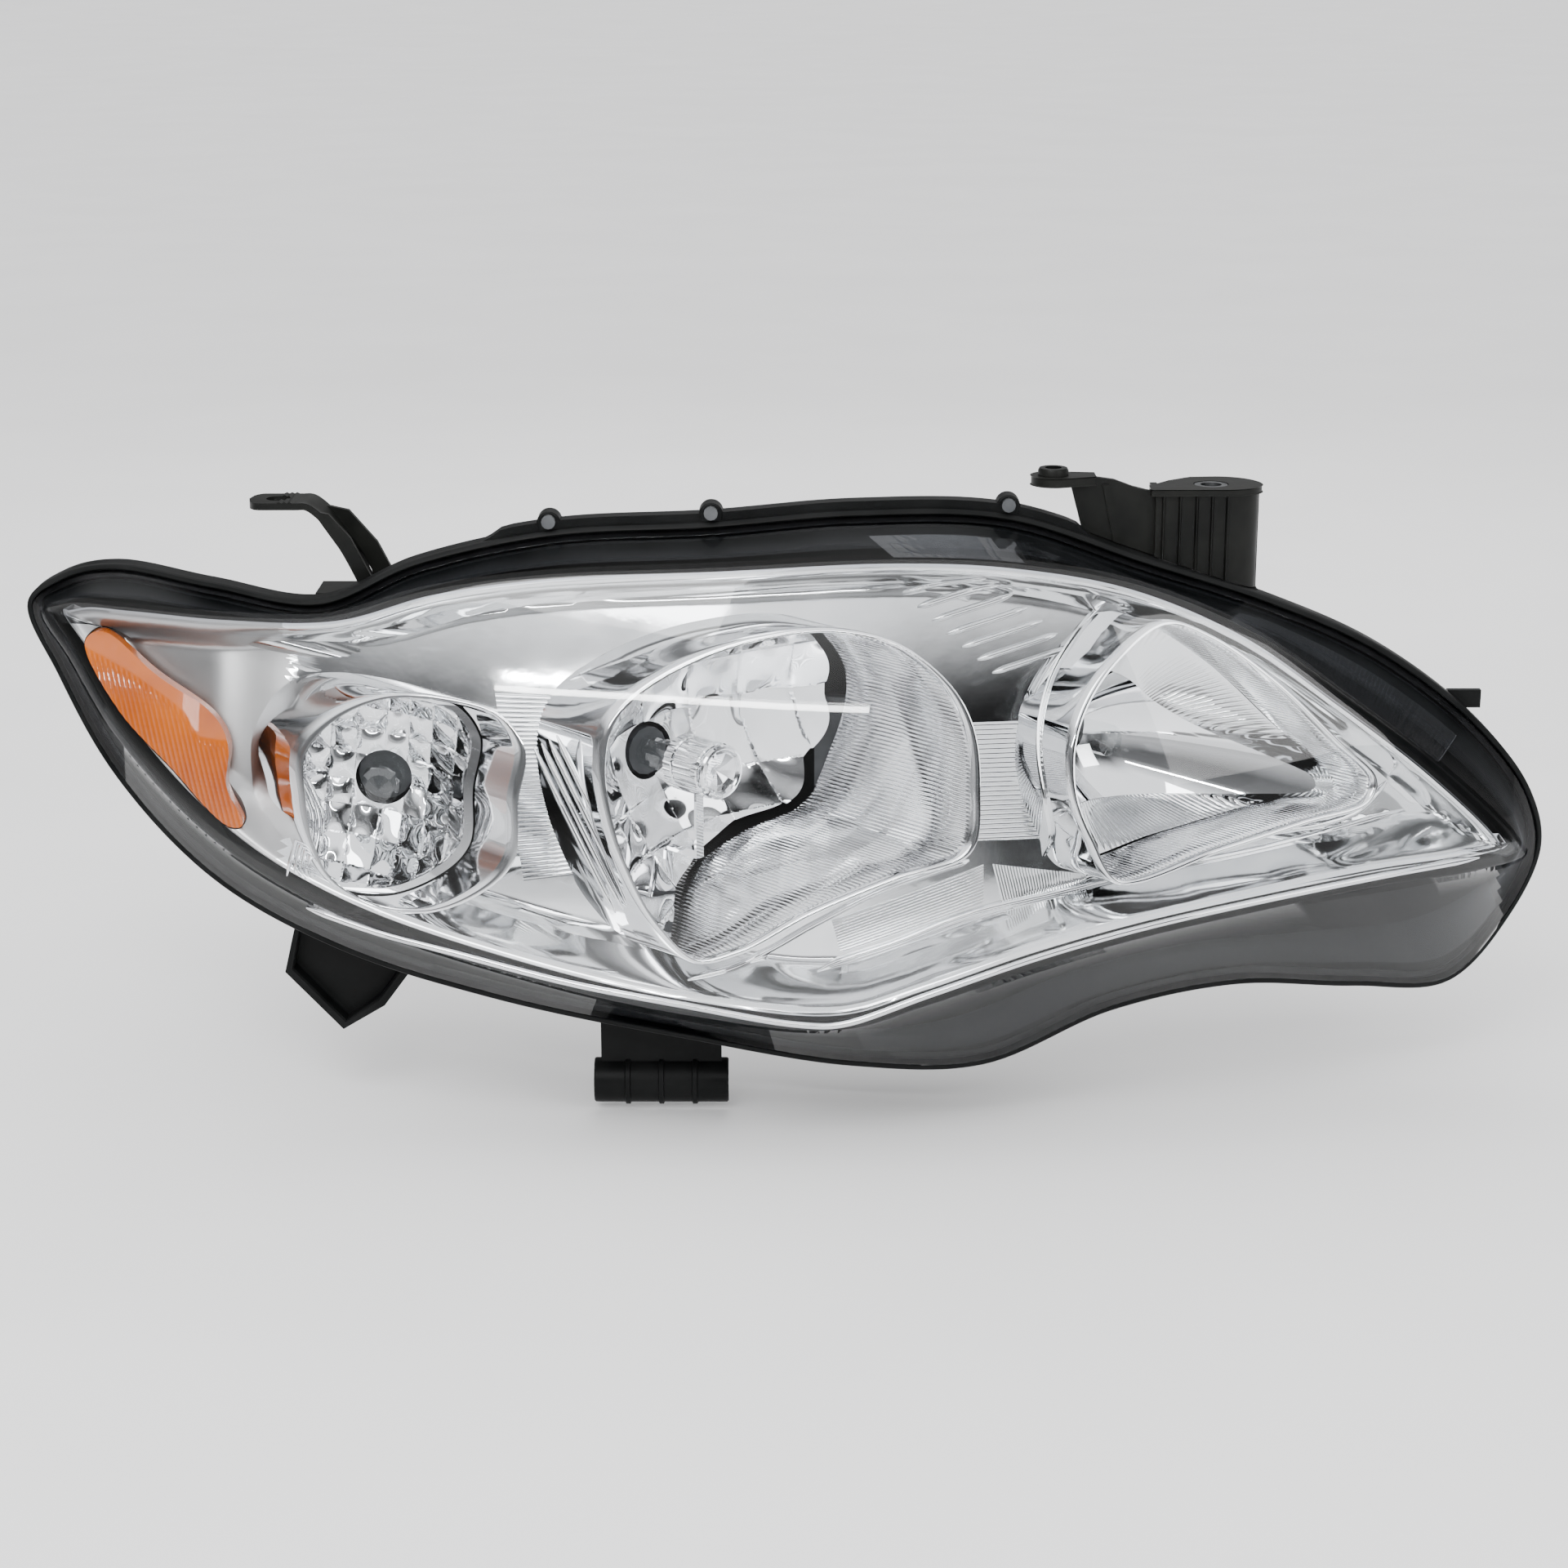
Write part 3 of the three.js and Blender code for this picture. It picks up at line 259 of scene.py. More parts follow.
def finish(name, dark, light, rough, metal=0.0, patch=60, grain=900, bump=0.05, depth=0.0002,
           coat=0.0, gloss=0.5):
    # colour drifts between two tints in soft patches, roughness drifts with it, and a fine grain lifts the surface
    material = bpy.data.materials.new(name)
    material.use_nodes = True
    tree = material.node_tree
    patches = noiseNode(material, patch)
    ramp = tree.nodes.new("ShaderNodeValToRGB")
    ramp.color_ramp.elements[0].position, ramp.color_ramp.elements[1].position = 0.3, 0.7
    ramp.color_ramp.elements[0].color, ramp.color_ramp.elements[1].color = (*dark, 1), (*light, 1)
    tree.links.new(patches.outputs["Fac"], ramp.inputs["Fac"])
    tree.links.new(ramp.outputs["Color"], socketFor(material, "Base Color"))
    tree.links.new(ranged(material, patches.outputs["Fac"], *rough), socketFor(material, "Roughness"))
    grains = noiseNode(material, grain, 3.0)
    lift = tree.nodes.new("ShaderNodeBump")
    lift.inputs["Strength"].default_value = bump
    lift.inputs["Distance"].default_value = depth
    tree.links.new(grains.outputs["Fac"], lift.inputs["Height"])
    tree.links.new(lift.outputs["Normal"], socketFor(material, "Normal"))
    socketFor(material, "Metallic").default_value = metal
    socketFor(material, "Coat Weight").default_value = coat
    socketFor(material, "IOR").default_value = 1 + 0.9 * gloss
    return material


def clearPlastic(name, tint, shine, edgeOn, haze):
    # light goes straight through apart from what the surface mirrors, which grows as the surface turns edge on
    material = bpy.data.materials.new(name)
    material.use_nodes = True
    tree = material.node_tree
    tree.nodes.remove(tree.nodes["Principled BSDF"])
    through = tree.nodes.new("ShaderNodeBsdfTransparent")
    through.inputs["Color"].default_value = (*tint, 1)
    gloss = tree.nodes.new("ShaderNodeBsdfGlossy")
    gloss.inputs["Color"].default_value = (1, 1, 1, 1)
    drift = noiseNode(material, 25)
    tree.links.new(ranged(material, drift.outputs["Fac"], *haze), gloss.inputs["Roughness"])
    facing = tree.nodes.new("ShaderNodeLayerWeight")
    facing.inputs["Blend"].default_value = 0.5
    power = tree.nodes.new("ShaderNodeMath")
    power.operation = "POWER"
    power.inputs[1].default_value = 5.0
    tree.links.new(facing.outputs["Facing"], power.inputs[0])
    sides = tree.nodes.new("ShaderNodeNewGeometry")
    inner = ranged(material, sides.outputs["Backfacing"], 1.0, 0.2, 0, 1)
    weigh = tree.nodes.new("ShaderNodeMath")
    weigh.operation = "MULTIPLY"
    tree.links.new(ranged(material, power.outputs["Value"], shine, edgeOn, 0, 1), weigh.inputs[0])
    tree.links.new(inner, weigh.inputs[1])
    mix = tree.nodes.new("ShaderNodeMixShader")
    tree.links.new(weigh.outputs["Value"], mix.inputs["Fac"])
    tree.links.new(through.outputs["BSDF"], mix.inputs[1])
    tree.links.new(gloss.outputs["BSDF"], mix.inputs[2])
    tree.links.new(mix.outputs["Shader"], tree.nodes["Material Output"].inputs["Surface"])
    return material


finishes = {
    "lensClear": clearPlastic("lensClear", (0.985, 0.99, 0.995), 0.04, 0.55, (0.01, 0.03)),
    # painted shade: the lens's side wall gets a darker, duller copy of the clear plastic, standing in for the dark
    # reflection and shade seen through it
    "lensWallShade": clearPlastic("lensWallShade", (0.86, 0.87, 0.89), 0.015, 0.06, (0.02, 0.05)),
    "bulbClear": clearPlastic("bulbClear", (0.95, 0.96, 0.96), 0.08, 0.6, (0.01, 0.03)),
    "chrome": finish("chrome", (0.74, 0.75, 0.755), (0.86, 0.865, 0.87), (0.05, 0.11), 1, 30, 70, 0.10, 0.0006),
    "mirror": finish("mirror", (0.84, 0.85, 0.86), (0.92, 0.92, 0.93), (0.02, 0.05), 1, 30, 45, 0.05, 0.0006),
    "satin": finish("satin", (0.42, 0.415, 0.41), (0.50, 0.495, 0.49), (0.30, 0.42), 1, 25, 1500, 0.08, 0.0001),
    "amber": finish("amber", (0.42, 0.075, 0.0005), (0.60, 0.13, 0.001), (0.05, 0.12), 0, 40, 300, 0.06, 0.0003,
                    0.6),
    "blackPlastic": finish("blackPlastic", (0.004, 0.0045, 0.0045), (0.010, 0.0105, 0.0105), (0.36, 0.54), 0,
                           50, 1400, 0.18, 0.0002, 0, 0.22),
    "blackSteel": finish("blackSteel", (0.004, 0.0045, 0.004), (0.011, 0.0115, 0.010), (0.36, 0.50), 0, 60, 700,
                         0.10, 0.0002, 0, 0.28),
    "rubber": finish("rubber", (0.006, 0.006, 0.0065), (0.015, 0.015, 0.016), (0.62, 0.82), 0, 80, 2200,
                     0.22, 0.0002, 0, 0.3),
    "darkZinc": finish("darkZinc", (0.10, 0.105, 0.11), (0.17, 0.175, 0.18), (0.35, 0.5), 1, 120, 1600,
                       0.08, 0.0001),
    "zinc": finish("zinc", (0.52, 0.53, 0.55), (0.72, 0.73, 0.74), (0.24, 0.40), 1, 120, 1600, 0.08, 0.0001),
    "nylon": finish("nylon", (0.60, 0.59, 0.54), (0.74, 0.73, 0.68), (0.38, 0.52), 0, 90, 1500, 0.08, 0.0001),
    "greyPlastic": finish("greyPlastic", (0.040, 0.042, 0.046), (0.065, 0.068, 0.073), (0.38, 0.54), 0, 90, 1500,
                          0.12, 0.0001),
}
print("finishes made:", len(finishes))

# outlines as [x, z] and depths shared by the pieces
outlines = {
    "face": [
        [-322, 50], [-310, 56], [-285, 57], [-240, 57], [-191, 60], [-150, 72], [-100, 80], [-30, 84],
        [47, 87], [98, 84], [149, 74], [198, 53], [240, 24], [284, -10], [317, -42], [321, -51],
        [300, -55], [256, -56], [200, -61], [150, -68], [105, -78], [60, -92], [24, -102], [-40, -96],
        [-115, -81], [-191, -60], [-240, -36], [-285, 2], [-308, 32],
    ],
    "rim": [
        [-334, 48], [-318, 61], [-293, 67], [-248, 63], [-199, 59], [-158, 76], [-100, 89], [-31, 93],
        [31, 97], [96, 94], [154, 75], [214, 54], [262, 31], [308, -4], [335, -38], [341, -64],
        [325, -94], [297, -118], [250, -113], [195, -105], [140, -111], [85, -131], [30, -129], [-40, -116],
        [-124, -100], [-190, -83], [-245, -58], [-290, -19], [-318, 20],
    ],
    "low": [
        [-48, -16], [-46, 3], [-40, 20], [-29, 33], [-8, 47], [13, 55], [36, 58], [55, 52], [67, 37],
        [71, 20], [68, -6], [60, -32], [35, -42], [7, -56], [-16, -72], [-30, -76], [-41, -60], [-47, -35],
    ],
    "high": [
        [99, -11], [102, 8], [111, 26], [128, 44], [151, 57], [167, 50], [187, 31],
        [207, 5], [221, -13], [216, -23], [187, -29], [152, -37], [110, -47], [102, -29],
    ],
    "turn": [
        [-126, -34], [-125, -17], [-121, 3], [-108, 20], [-94, 28], [-80, 28], [-68, 23],
        [-64, 10], [-70, -12], [-75, -36], [-85, -50], [-100, -60], [-114, -59], [-123, -50],
    ],
    "amber": [
        [-301, 39], [-294, 43], [-268, 28], [-241, 13], [-235, 3],
        [-236, -14], [-229, -29], [-235, -30], [-261, -8], [-285, 13],
    ],
    "leaf": [  # the plain mirror in the middle of the high-beam bowl
        [104, -12], [107, 8], [118, 24], [136, 32], [160, 26], [175, 12], [185, 3],
        [197, -6], [204, -13], [203, -19], [192, -23], [165, -26], [136, -27], [112, -26],
    ],
}
face = smoothLine(outlines["face"], lamp["perSpan"])
rim = smoothLine(outlines["rim"], lamp["perSpan"])


def sheetDepth(x, z):  # the lens front: bowed by x squared, leaning back with z, crowned by z squared
    return 0.00075 * x * x + 0.30 * z + 0.0014 * z * z


def rimDepth(x, z):
    return sheetDepth(x, z) + 34 + 0.045 * x + 0.05 * z


def backDepth(x, z):
    return 102 + 0.00045 * x * x + 0.08 * z


def behind(depth, extra):
    return lambda x, z: depth(x, z) + extra


def blended(a, b, t):
    return a + (b - a) * t


def smoothStep(v, low, high):
    t = np.clip((v - low) / (high - low), 0, 1)
    return t * t * (3 - 2 * t)


def awayFrom(loop, x, z):  # distance from points to the nearest side of an outline
    start, side = loop, np.roll(loop, -1, axis=0) - loop
    p = np.stack([x, z], axis=-1).reshape(-1, 1, 2) - start
    t = np.clip((p * side).sum(-1) / (side**2).sum(-1), 0, 1)
    return np.linalg.norm(p - t[..., None] * side, axis=-1).min(axis=1).reshape(np.shape(x))


def beamPoints(loop, depth):
    # lamp points where lines along the beam through [x, z] lie that far behind the sheet
    y = np.zeros(len(loop))
    for _ in range(20):
        q = beamToLamp(np.stack([loop[:, 0], y, loop[:, 1]], axis=1))
        y = y + (sheetDepth(q[:, 0], q[:, 2]) + depth - q[:, 1]) / cosSweep
    return beamToLamp(np.stack([loop[:, 0], y, loop[:, 1]], axis=1))


tray = {"edge": 7, "floor": 36, "outerFloor": 20, "flat": 5.5, "slope": 20, "thickness": 2}
trayEdge = shrink(face, 0.985, 1)
trayGuide = trayEdge[::4]


def trayDepth(x, z):  # near the edge the tray is shallow, and it falls to the floor over the slope's width
    floor = blended(tray["outerFloor"], tray["floor"], smoothStep(x, -245, -205))
    fall = smoothStep(awayFrom(trayGuide, x, z), tray["flat"], tray["slope"])
    return sheetDepth(x, z) + tray["edge"] + (floor - tray["edge"]) * fall


# housing
housing = {
    "lipFloor": 9.3, "inner": 6.8, "wall": 2.5,
    "wells": [  # x, z, floor, end, radius, hole, along the beam
        (0, -3, 112, 130, 34, 24, True), (140, 3, 3, 20, 31, 24, True),
        (-171, -14, 82, 112, 24, 13.5, False), (-258, 16, 104, 132, 15, 8.5, False),
    ],
    "adjusters": [(28, -48), (-98, 48)],
    "pivot": (28, 48),
    "breather": (78, 42),
    "screws": [(172, 38), (196, 30), (-196, 38), (-174, 34)],
    "screwHole": 2.4,
    "tabs": [6, 7, 9],  # places along the rim with a lens screw
    "ribs": [(-150, -60, 30), (-150, -60, -30), (55, 105, -30), (-60, -20, 60), (190, 250, 0)],  # x, x, z
    "sideLug": (296, 311, 127.5, 131, -1, 7),
}
lowerTab = {
    "y": 45, "z": -146, "radius": 10, "bore": 7.5, "ends": (-82, -24), "soft": 0.5, "steps": 40,
    "bands": (-67.5, -53, -38.5), "bandRise": 0.9, "bandHalf": (0.9, 1.3),
    "stem": (-79, -27, 41.5, 44.7, -138, -104),
}
lowerStub = {
    "outline": [[-208, -78], [-212, -98], [-190, -122], [-176, -112], [-164, -96], [-164, -76]],
    "front": 52, "back": 66, "soft": 0.8, "recess": 4, "recessFloor": 60,
}


def housingShell():
    h = housing
    wall = h["wall"]
    side = [
        ringAt(shrink(rim, 0.02), behind(backDepth, 0)),
        ringAt(shrink(rim, 0.4), behind(backDepth, 0)),
        ringAt(shrink(rim, 0.86, 0.75), behind(backDepth, 0)),
        ringAt(shrink(rim, 0.885, 0.78), behind(backDepth, -1.0)),
        ringAt(shrink(rim, 0.91, 0.82), behind(backDepth, -4)),
    ]
    shoulder = ringAt(shrink(rim, 0.94, 0.87), behind(backDepth, -8))
    flank = ringAt(inset(rim, 5), behind(rimDepth, 13))
    outside = side + [blended(shoulder, flank, t) for t in (0, 0.25, 0.5, 0.75, 1)]
    outside += [ringAt(inset(rim, d), behind(rimDepth, y)) for d, y in (
        (4, 12.4), (0.6, 12.4), (0, 11.8), (0, 6.5), (0, 1.6), (0.5, 1.0), (2.0, 1.0), (2.5, 1.5),
        (2.5, h["lipFloor"]), (h["inner"], h["lipFloor"]), (h["inner"], 4.8), (7.3, 4.3), (8.8, 4.3), (8.8, 12))]
    innerShoulder = ringAt(inset(shrink(rim, 0.94, 0.87), wall), behind(backDepth, -8 - wall))
    innerFlank = ringAt(inset(rim, 9), behind(rimDepth, 13))
    inside = [blended(innerShoulder, innerFlank, t) for t in (0.8, 0.4, 0)]
    inside += [
        ringAt(inset(shrink(rim, 0.91, 0.82), wall), behind(backDepth, -4 - wall)),
        ringAt(inset(shrink(rim, 0.87, 0.76), wall * 0.6), behind(backDepth, -wall)),
        ringAt(shrink(rim, 0.4), behind(backDepth, -wall)),
        ringAt(shrink(rim, 0.02), behind(backDepth, -wall)),
    ]
    return closedMesh(outside + inside)


def makeHousing():
    h = housing
    shell = newPiece("housingShell", housingShell())
    for x, z, floor, end, radius, hole, alongBeam in h["wells"]:
        place = asBeam if alongBeam else (lambda mesh: mesh)
        outside, rib, wall = radius + h["wall"], radius + 4.5, h["wall"]
        cup = [[0.01, floor - wall], [outside, floor - wall], [outside, end - 4], [rib, end - 3.4],
               [rib, end - 1], [outside, end - 0.4], [radius + 2.0, end], [0.01, end]]
        carve(shell, place(lathe(cup, x, z, 96)), "UNION")
    for x, z in h["adjusters"]:
        wall = backDepth(x, z)
        seat = [[0.01, wall - 5], [12.5, wall - 5], [12.5, wall + 6], [11.6, wall + 7], [0.01, wall + 7]]
        carve(shell, lathe(seat, x, z), "UNION")
    for x, z in h["screws"]:
        wall = backDepth(x, z)
        carve(shell, barMesh(x, z, 5, wall - 12, wall - 1, 40), "UNION")
    px, pz = h["pivot"]
    carve(shell, barMesh(px, pz, 8, backDepth(px, pz) - 5, backDepth(px, pz) + 6, 48), "UNION")
    bx, bz = h["breather"]
    carve(shell, barMesh(bx, bz, 7, 100, 112, 48), "UNION")
    for index in h["tabs"]:
        x, z = outlines["rim"][index]
        y = rimDepth(x, z)
        boss = [[0.01, y + 2], [4.5, y + 2], [5.2, y + 2.7], [5.2, y + 11.8], [0.01, y + 11.8]]
        carve(shell, lathe(boss, x, z + 2.6, 48), "UNION")
    for mesh in (*lowerTabMesh(), lowerStubMesh(), boxMesh(*h["sideLug"]), *ribMeshes(), topFlange()):
        carve(shell, mesh, "UNION")
    for x, z, floor, end, radius, hole, alongBeam in h["wells"]:
        place = asBeam if alongBeam else (lambda mesh: mesh)
        carve(shell, place(barMesh(x, z, radius, floor, 300, 96)), "DIFFERENCE")
        carve(shell, place(barMesh(x, z, hole, floor - 6, floor + 3, 72)), "DIFFERENCE")
    for x, z in h["adjusters"]:
        wall = backDepth(x, z)
        carve(shell, barMesh(x, z, 9.4, wall - 12, wall + 14, 56), "DIFFERENCE")
    for x, z in h["screws"]:
        wall = backDepth(x, z)
        carve(shell, barMesh(x, z, h["screwHole"], wall - 10, wall + 3, 32), "DIFFERENCE")
    carve(shell, barMesh(px, pz, 3.4, 60, 130, 40), "DIFFERENCE")
    carve(shell, barMesh(bx, bz, 2.5, 80, 130, 32), "DIFFERENCE")
    shadeSmooth(shell, 32)
    return shell


def topFlange():  # a raised land along the top of the rim that carries the lens screws
    span = lamp["perSpan"]
    part = slice(int(5.55 * span), int(9.75 * span))
    line, low = inset(rim, 1.5)[part], inset(rim, -3.6)[part]
    share = smoothStep(np.linspace(0, 1, len(line)), 0, 0.05) * smoothStep(np.linspace(1, 0, len(line)), 0, 0.05)
    high = blended(inset(rim, 0.5)[part], low, share[:, None])
    y0, y1 = rimDepth(line[:, 0], line[:, 1]) + 3.2, rimDepth(line[:, 0], line[:, 1]) + 11.6
    corners = ((line, y0), (high, y0), (high, y1), (line, y1))
    grid = np.stack([np.stack([xz[:, 0], y, xz[:, 1]], axis=1) for xz, y in corners], axis=1)
    return closedMesh(list(grid))


def lowerTabMesh():  # a half round spring tab under the lamp, closed at the front and open to the back
    t = lowerTab
    turn = np.linspace(math.pi / 2, 3 * math.pi / 2, t["steps"])

    def arc(radius):
        return np.stack([t["y"] + radius * np.cos(turn), t["z"] + radius * np.sin(turn)], axis=1)

    near, far = t["bandHalf"]
    start, end = t["ends"]
    xs, swell = [start, start + 0.6], [-t["soft"], 0]
    for middle in t["bands"]:
        xs += [middle - far, middle - near, middle + near, middle + far]
        swell += [0, t["bandRise"], t["bandRise"], 0]
    xs, swell = xs + [end - 0.6, end], swell + [0, -t["soft"]]
    rings = []
    for x, grow in zip(xs, swell):
        section = np.vstack([arc(t["radius"] + grow), arc(t["bore"])[::-1]])
        rings.append(np.column_stack([np.full(len(section), x), section]))
    return closedMesh(rings), boxMesh(*t["stem"])


def lowerStubMesh():  # a short foot under the lamp with a recess in its front
    s = lowerStub
    loop = np.array(s["outline"], float)
    recess = inset(loop, s["recess"], 1)
    return closedMesh([
        ringAt(loop, s["back"]), ringAt(loop, s["front"] + s["soft"]), ringAt(inset(loop, s["soft"], 1), s["front"]),
        ringAt(recess, s["front"]), ringAt(recess, s["recessFloor"]),
    ])


def ribMeshes():  # stiffening ribs that run along the back wall between the wells
    ribs = []
    for x0, x1, z in housing["ribs"]:
        at = backDepth(np.array([x0, x1], float), z)
        ribs.append(boxMesh(x0, x1, float(at.min()) - 3, float(at.max()) + 2.6, z - 1, z + 1))
    return ribs


def makeRimShadeSleeve():  # painted shade: a black sleeve that stands inside the lens wall, from the lip to half way forward, for the housing's lip and the dark band of shade behind the wall
    back = [ringAt(inset(rim, d), behind(rimDepth, 3.9)) for d in (7.5, 8.7)]
    front = [ringAt(inset(face, d), behind(sheetDepth, 8)) for d in (4.8, 6.0)]
    outer = [blended(back[0], front[0], t) for t in (0, 0.12, 0.24, 0.36, 0.48)]
    inner = [blended(back[1], front[1], t) for t in (0.48, 0.36, 0.24, 0.12, 0)]
    return newPiece("rimShadeSleeve", closedMesh(outer + inner, True), 50)


lay(makeHousing(), finishes["blackPlastic"], "housing_assembly", "housing", slot="black_plastic")
# the black sleeve paints the shade inside the lens wall
lay(makeRimShadeSleeve(), finishes["blackPlastic"], "housing_assembly", slot="black_plastic")
print("housing made")

# lens and its seal
lens = {"thickness": 3, "foot": 6, "inset": 3, "flutePitch": 2.0, "fluteRise": 0.5}


def makeLens():
    # rings from the middle of the front over the rounded corner, back along the wall to the foot, and inside again
    wall = lens["thickness"]
    heel = ringAt(inset(rim, lens["inset"]), behind(rimDepth, -1))
    heelInside = ringAt(inset(rim, lens["inset"] + wall), behind(rimDepth, -1))
    corner = ringAt(face, behind(sheetDepth, 3))
    cornerInside = ringAt(inset(face, 3.2), behind(sheetDepth, 6))
    rings = [ringAt(shrink(face, k), sheetDepth) for k in (0.02, 0.15, 0.3, 0.45, 0.6, 0.72, 0.82, 0.9)]
    rings += [ringAt(inset(face, d), behind(sheetDepth, y)) for d, y in (
        (9, 0), (5, 0), (3.0, 0.15), (1.6, 0.6), (0.6, 1.4), (0.1, 2.3))]
    rings += [blended(corner, heel, t) for t in (0, 0.25, 0.5, 0.75, 0.96, 1)]
    rings += [ringAt(inset(rim, d), behind(rimDepth, y)) for d, y in (
        (lens["inset"], 3), (lens["inset"], lens["foot"]), (lens["inset"] + wall, lens["foot"]))]
    rings += [blended(heelInside, cornerInside, t) for t in (0, 0.25, 0.5, 0.75, 1)]
    rings += [ringAt(inset(face, d), behind(sheetDepth, y)) for d, y in ((3.8, 4.6), (5.2, 3.3), (7.5, 3), (9.5, 3))]
    rings += [ringAt(shrink(face, k), behind(sheetDepth, wall)) for k in (0.89, 0.8, 0.7, 0.55, 0.4, 0.2, 0.02)]
    return newPiece("lensCover", closedMesh(rings), 50)


def fluteStrip(name, first, last, low, high):
    # upright flutes on the inside of the lens wall, between two outline points; low and high are shares of its width
    span = lamp["perSpan"]
    part = slice(first * span, last * span)
    top = ringAt(inset(face, 3.2), behind(sheetDepth, 6))[part]
    bottom = ringAt(inset(rim, 6), behind(rimDepth, -1))[part]
    count = int(np.linalg.norm(np.diff(top, axis=0), axis=1).sum() / lens["flutePitch"]) * 6
    top, bottom = evenLine(top, count, False), evenLine(bottom, count, False)
    inward = np.array([[0.0, 0.25, -1.0]]) * np.sign(top.mean(axis=0)[2] + 8)
    phase = np.arange(count) / 6
    wave = 0.25 + lens["fluteRise"] * np.abs(np.sin(math.pi * phase))
    shares = np.linspace(low, high, 7)
    fade = np.minimum(1, np.minimum(np.arange(7), np.arange(7)[::-1]) / 1.2)
    outer = np.stack([blended(top, bottom, s) for s in shares])
    inner = outer + inward * (0.15 + wave[:, None] * fade[:, None, None])
    return newPiece(name, slabMesh(outer, inner), 60)


def splitFinish(piece, name, chosen):
    # a second finish on the faces picked by their middle's x and how far their normal points into the car
    piece.data.materials.append(finishes[name])
    centre, normal = np.zeros((2, 3 * len(piece.data.polygons)), np.float32)
    piece.data.polygons.foreach_get("center", centre)
    piece.data.polygons.foreach_get("normal", normal)
    centre, normal = centre.reshape(-1, 3) * 1000, normal.reshape(-1, 3)
    x = centre[:, 0] * cosSweep - centre[:, 1] * sinSweep + lamp["origin"][0]
    intoCar = normal[:, 0] * sinSweep + normal[:, 1] * cosSweep
    piece.data.polygons.foreach_set("material_index", chosen(x, intoCar).astype(np.int32))


lensCover = makeLens()
lay(lensCover, finishes["lensClear"], "housing_assembly", "lens", slot="clear_lens")
# painted shade: faces that turn sideways take the darker copy of the clear plastic
splitFinish(lensCover, "lensWallShade", lambda x, intoCar: np.abs(intoCar) < 0.62)
lay(fluteStrip("lensFlutesTop", 8, 13, 0.10, 0.75), finishes["lensClear"], "housing_assembly", slot="clear_lens")
# the lower flutes take the same painted shade
lay(fluteStrip("lensFlutesLow", 16, 22, 0.15, 0.85), finishes["lensWallShade"], "housing_assembly", slot="clear_lens")


def makeSeal():
    rings = [ringAt(inset(rim, d), behind(rimDepth, y)) for d, y in (
        (3.0, 6.6), (3.3, 6.4), (5.7, 6.4), (6.0, 6.6), (6.0, 8.7), (5.7, 8.9), (3.3, 8.9), (3.0, 8.7))]
    return newPiece("lensSeal", closedMesh(rings, True))


lay(makeSeal(), finishes["rubber"], "housing_assembly", "lens_seal", slot="rubber")
print("lens made")

# bezel
collars = {
    "low": {"deeper": 37, "loss": 0.47, "flutesFrom": -8, "extra": 0},
    "high": {"deeper": 0, "loss": 0, "flutesFrom": 112, "extra": 0},
    "turn": {"deeper": -12, "loss": 0, "flutesFrom": 400, "extra": 6},
}
collarShape = {"front": 9, "wall": 2, "pitch": 1.75, "rise": 0.42, "land": 2.4}


def collarBack(loop, shape):
    across = (loop[:, 0] - loop[:, 0].min()) / np.ptp(loop[:, 0])
    slant = (shape["deeper"] - shape["loss"] * loop[:, 1]) * across
    return tray["floor"] + tray["thickness"] + shape["extra"] + slant


def makeCollar(key):
    # a tube along the beam: outside from back to front, over a rounded lip, then a fluted inside to the back again
    shape, c = collars[key], collarShape
    smooth = smoothLine(outlines[key], 24)
    flutes = int(round(lengthOf(smooth) / c["pitch"]))
    loop = evenLine(smooth, flutes * 6)
    back, front = collarBack(loop, shape), np.full(len(loop), float(c["front"]))
    wave = np.abs(np.sin(math.pi * np.arange(len(loop)) / 6))
    fluted = smoothStep(loop[:, 0] - 0.35 * loop[:, 1], shape["flutesFrom"] - 6, shape["flutesFrom"] + 6)
    reach = 18  # neighbours that the outline's slope is measured over
    rings = []
    for share, out in ((1, 0), (0.6, 0), (0.25, 0), (0.08, 0)):
        rings.append(beamPoints(inset(loop, -out, reach), blended(front + 0.9, back, share)))
    for off, drop in ((0.05, 0.45), (0.35, 0.1), (0.8, 0), (1.2, 0), (1.65, 0.1), (1.95, 0.45)):
        rings.append(beamPoints(inset(loop, off, reach), front + drop))
    for share in (0, 0.02, 0.03, 0.25, 0.5, 0.75, 0.97, 1):
        rise = 0 if share < 0.03 or share == 1 else c["rise"]
        inside = inset(loop, c["wall"] + rise * wave * fluted, reach)
        rings.append(beamPoints(inside, blended(front + c["land"], back, share)))
    return closedMesh(rings, True)


def collarPlug(key, wider=0.0):
    loop = inset(smoothLine(outlines[key], 12), 1.0 - wider)
    return closedMesh([beamPoints(loop, 0), beamPoints(loop, tray["floor"] + 12)])


def amberWindow():
    loop = inset(smoothLine(outlines["amber"], 12), -1)
    return closedMesh([ringAt(loop, behind(sheetDepth, -4)), ringAt(loop, behind(sheetDepth, 19))])


def makeTray():
    shares = 1 - (1 - np.linspace(0.02, 1, 70)) ** 1.5
    floorEdge = inset(trayEdge, 6)
    fronts = [ringAt(shrink(floorEdge, s), trayDepth) for s in shares]
    lip = [ringAt(inset(trayEdge, d), behind(sheetDepth, y)) for d, y in (
        (5.4, 6.8), (4.9, 6.9), (4.5, 7.5), (5.0, 10), (7, 18))]
    backs = [ringAt(shrink(floorEdge, s), behind(trayDepth, tray["thickness"])) for s in (
        0.93, 0.85, 0.7, 0.5, 0.3, 0.02)]
    piece = newPiece("bezelTray", closedMesh(fronts + lip + backs), 30)
    for key in collars:
        carve(piece, collarPlug(key), "DIFFERENCE")
    carve(piece, amberWindow(), "DIFFERENCE")
    shadeSmooth(piece, 28)
    return piece


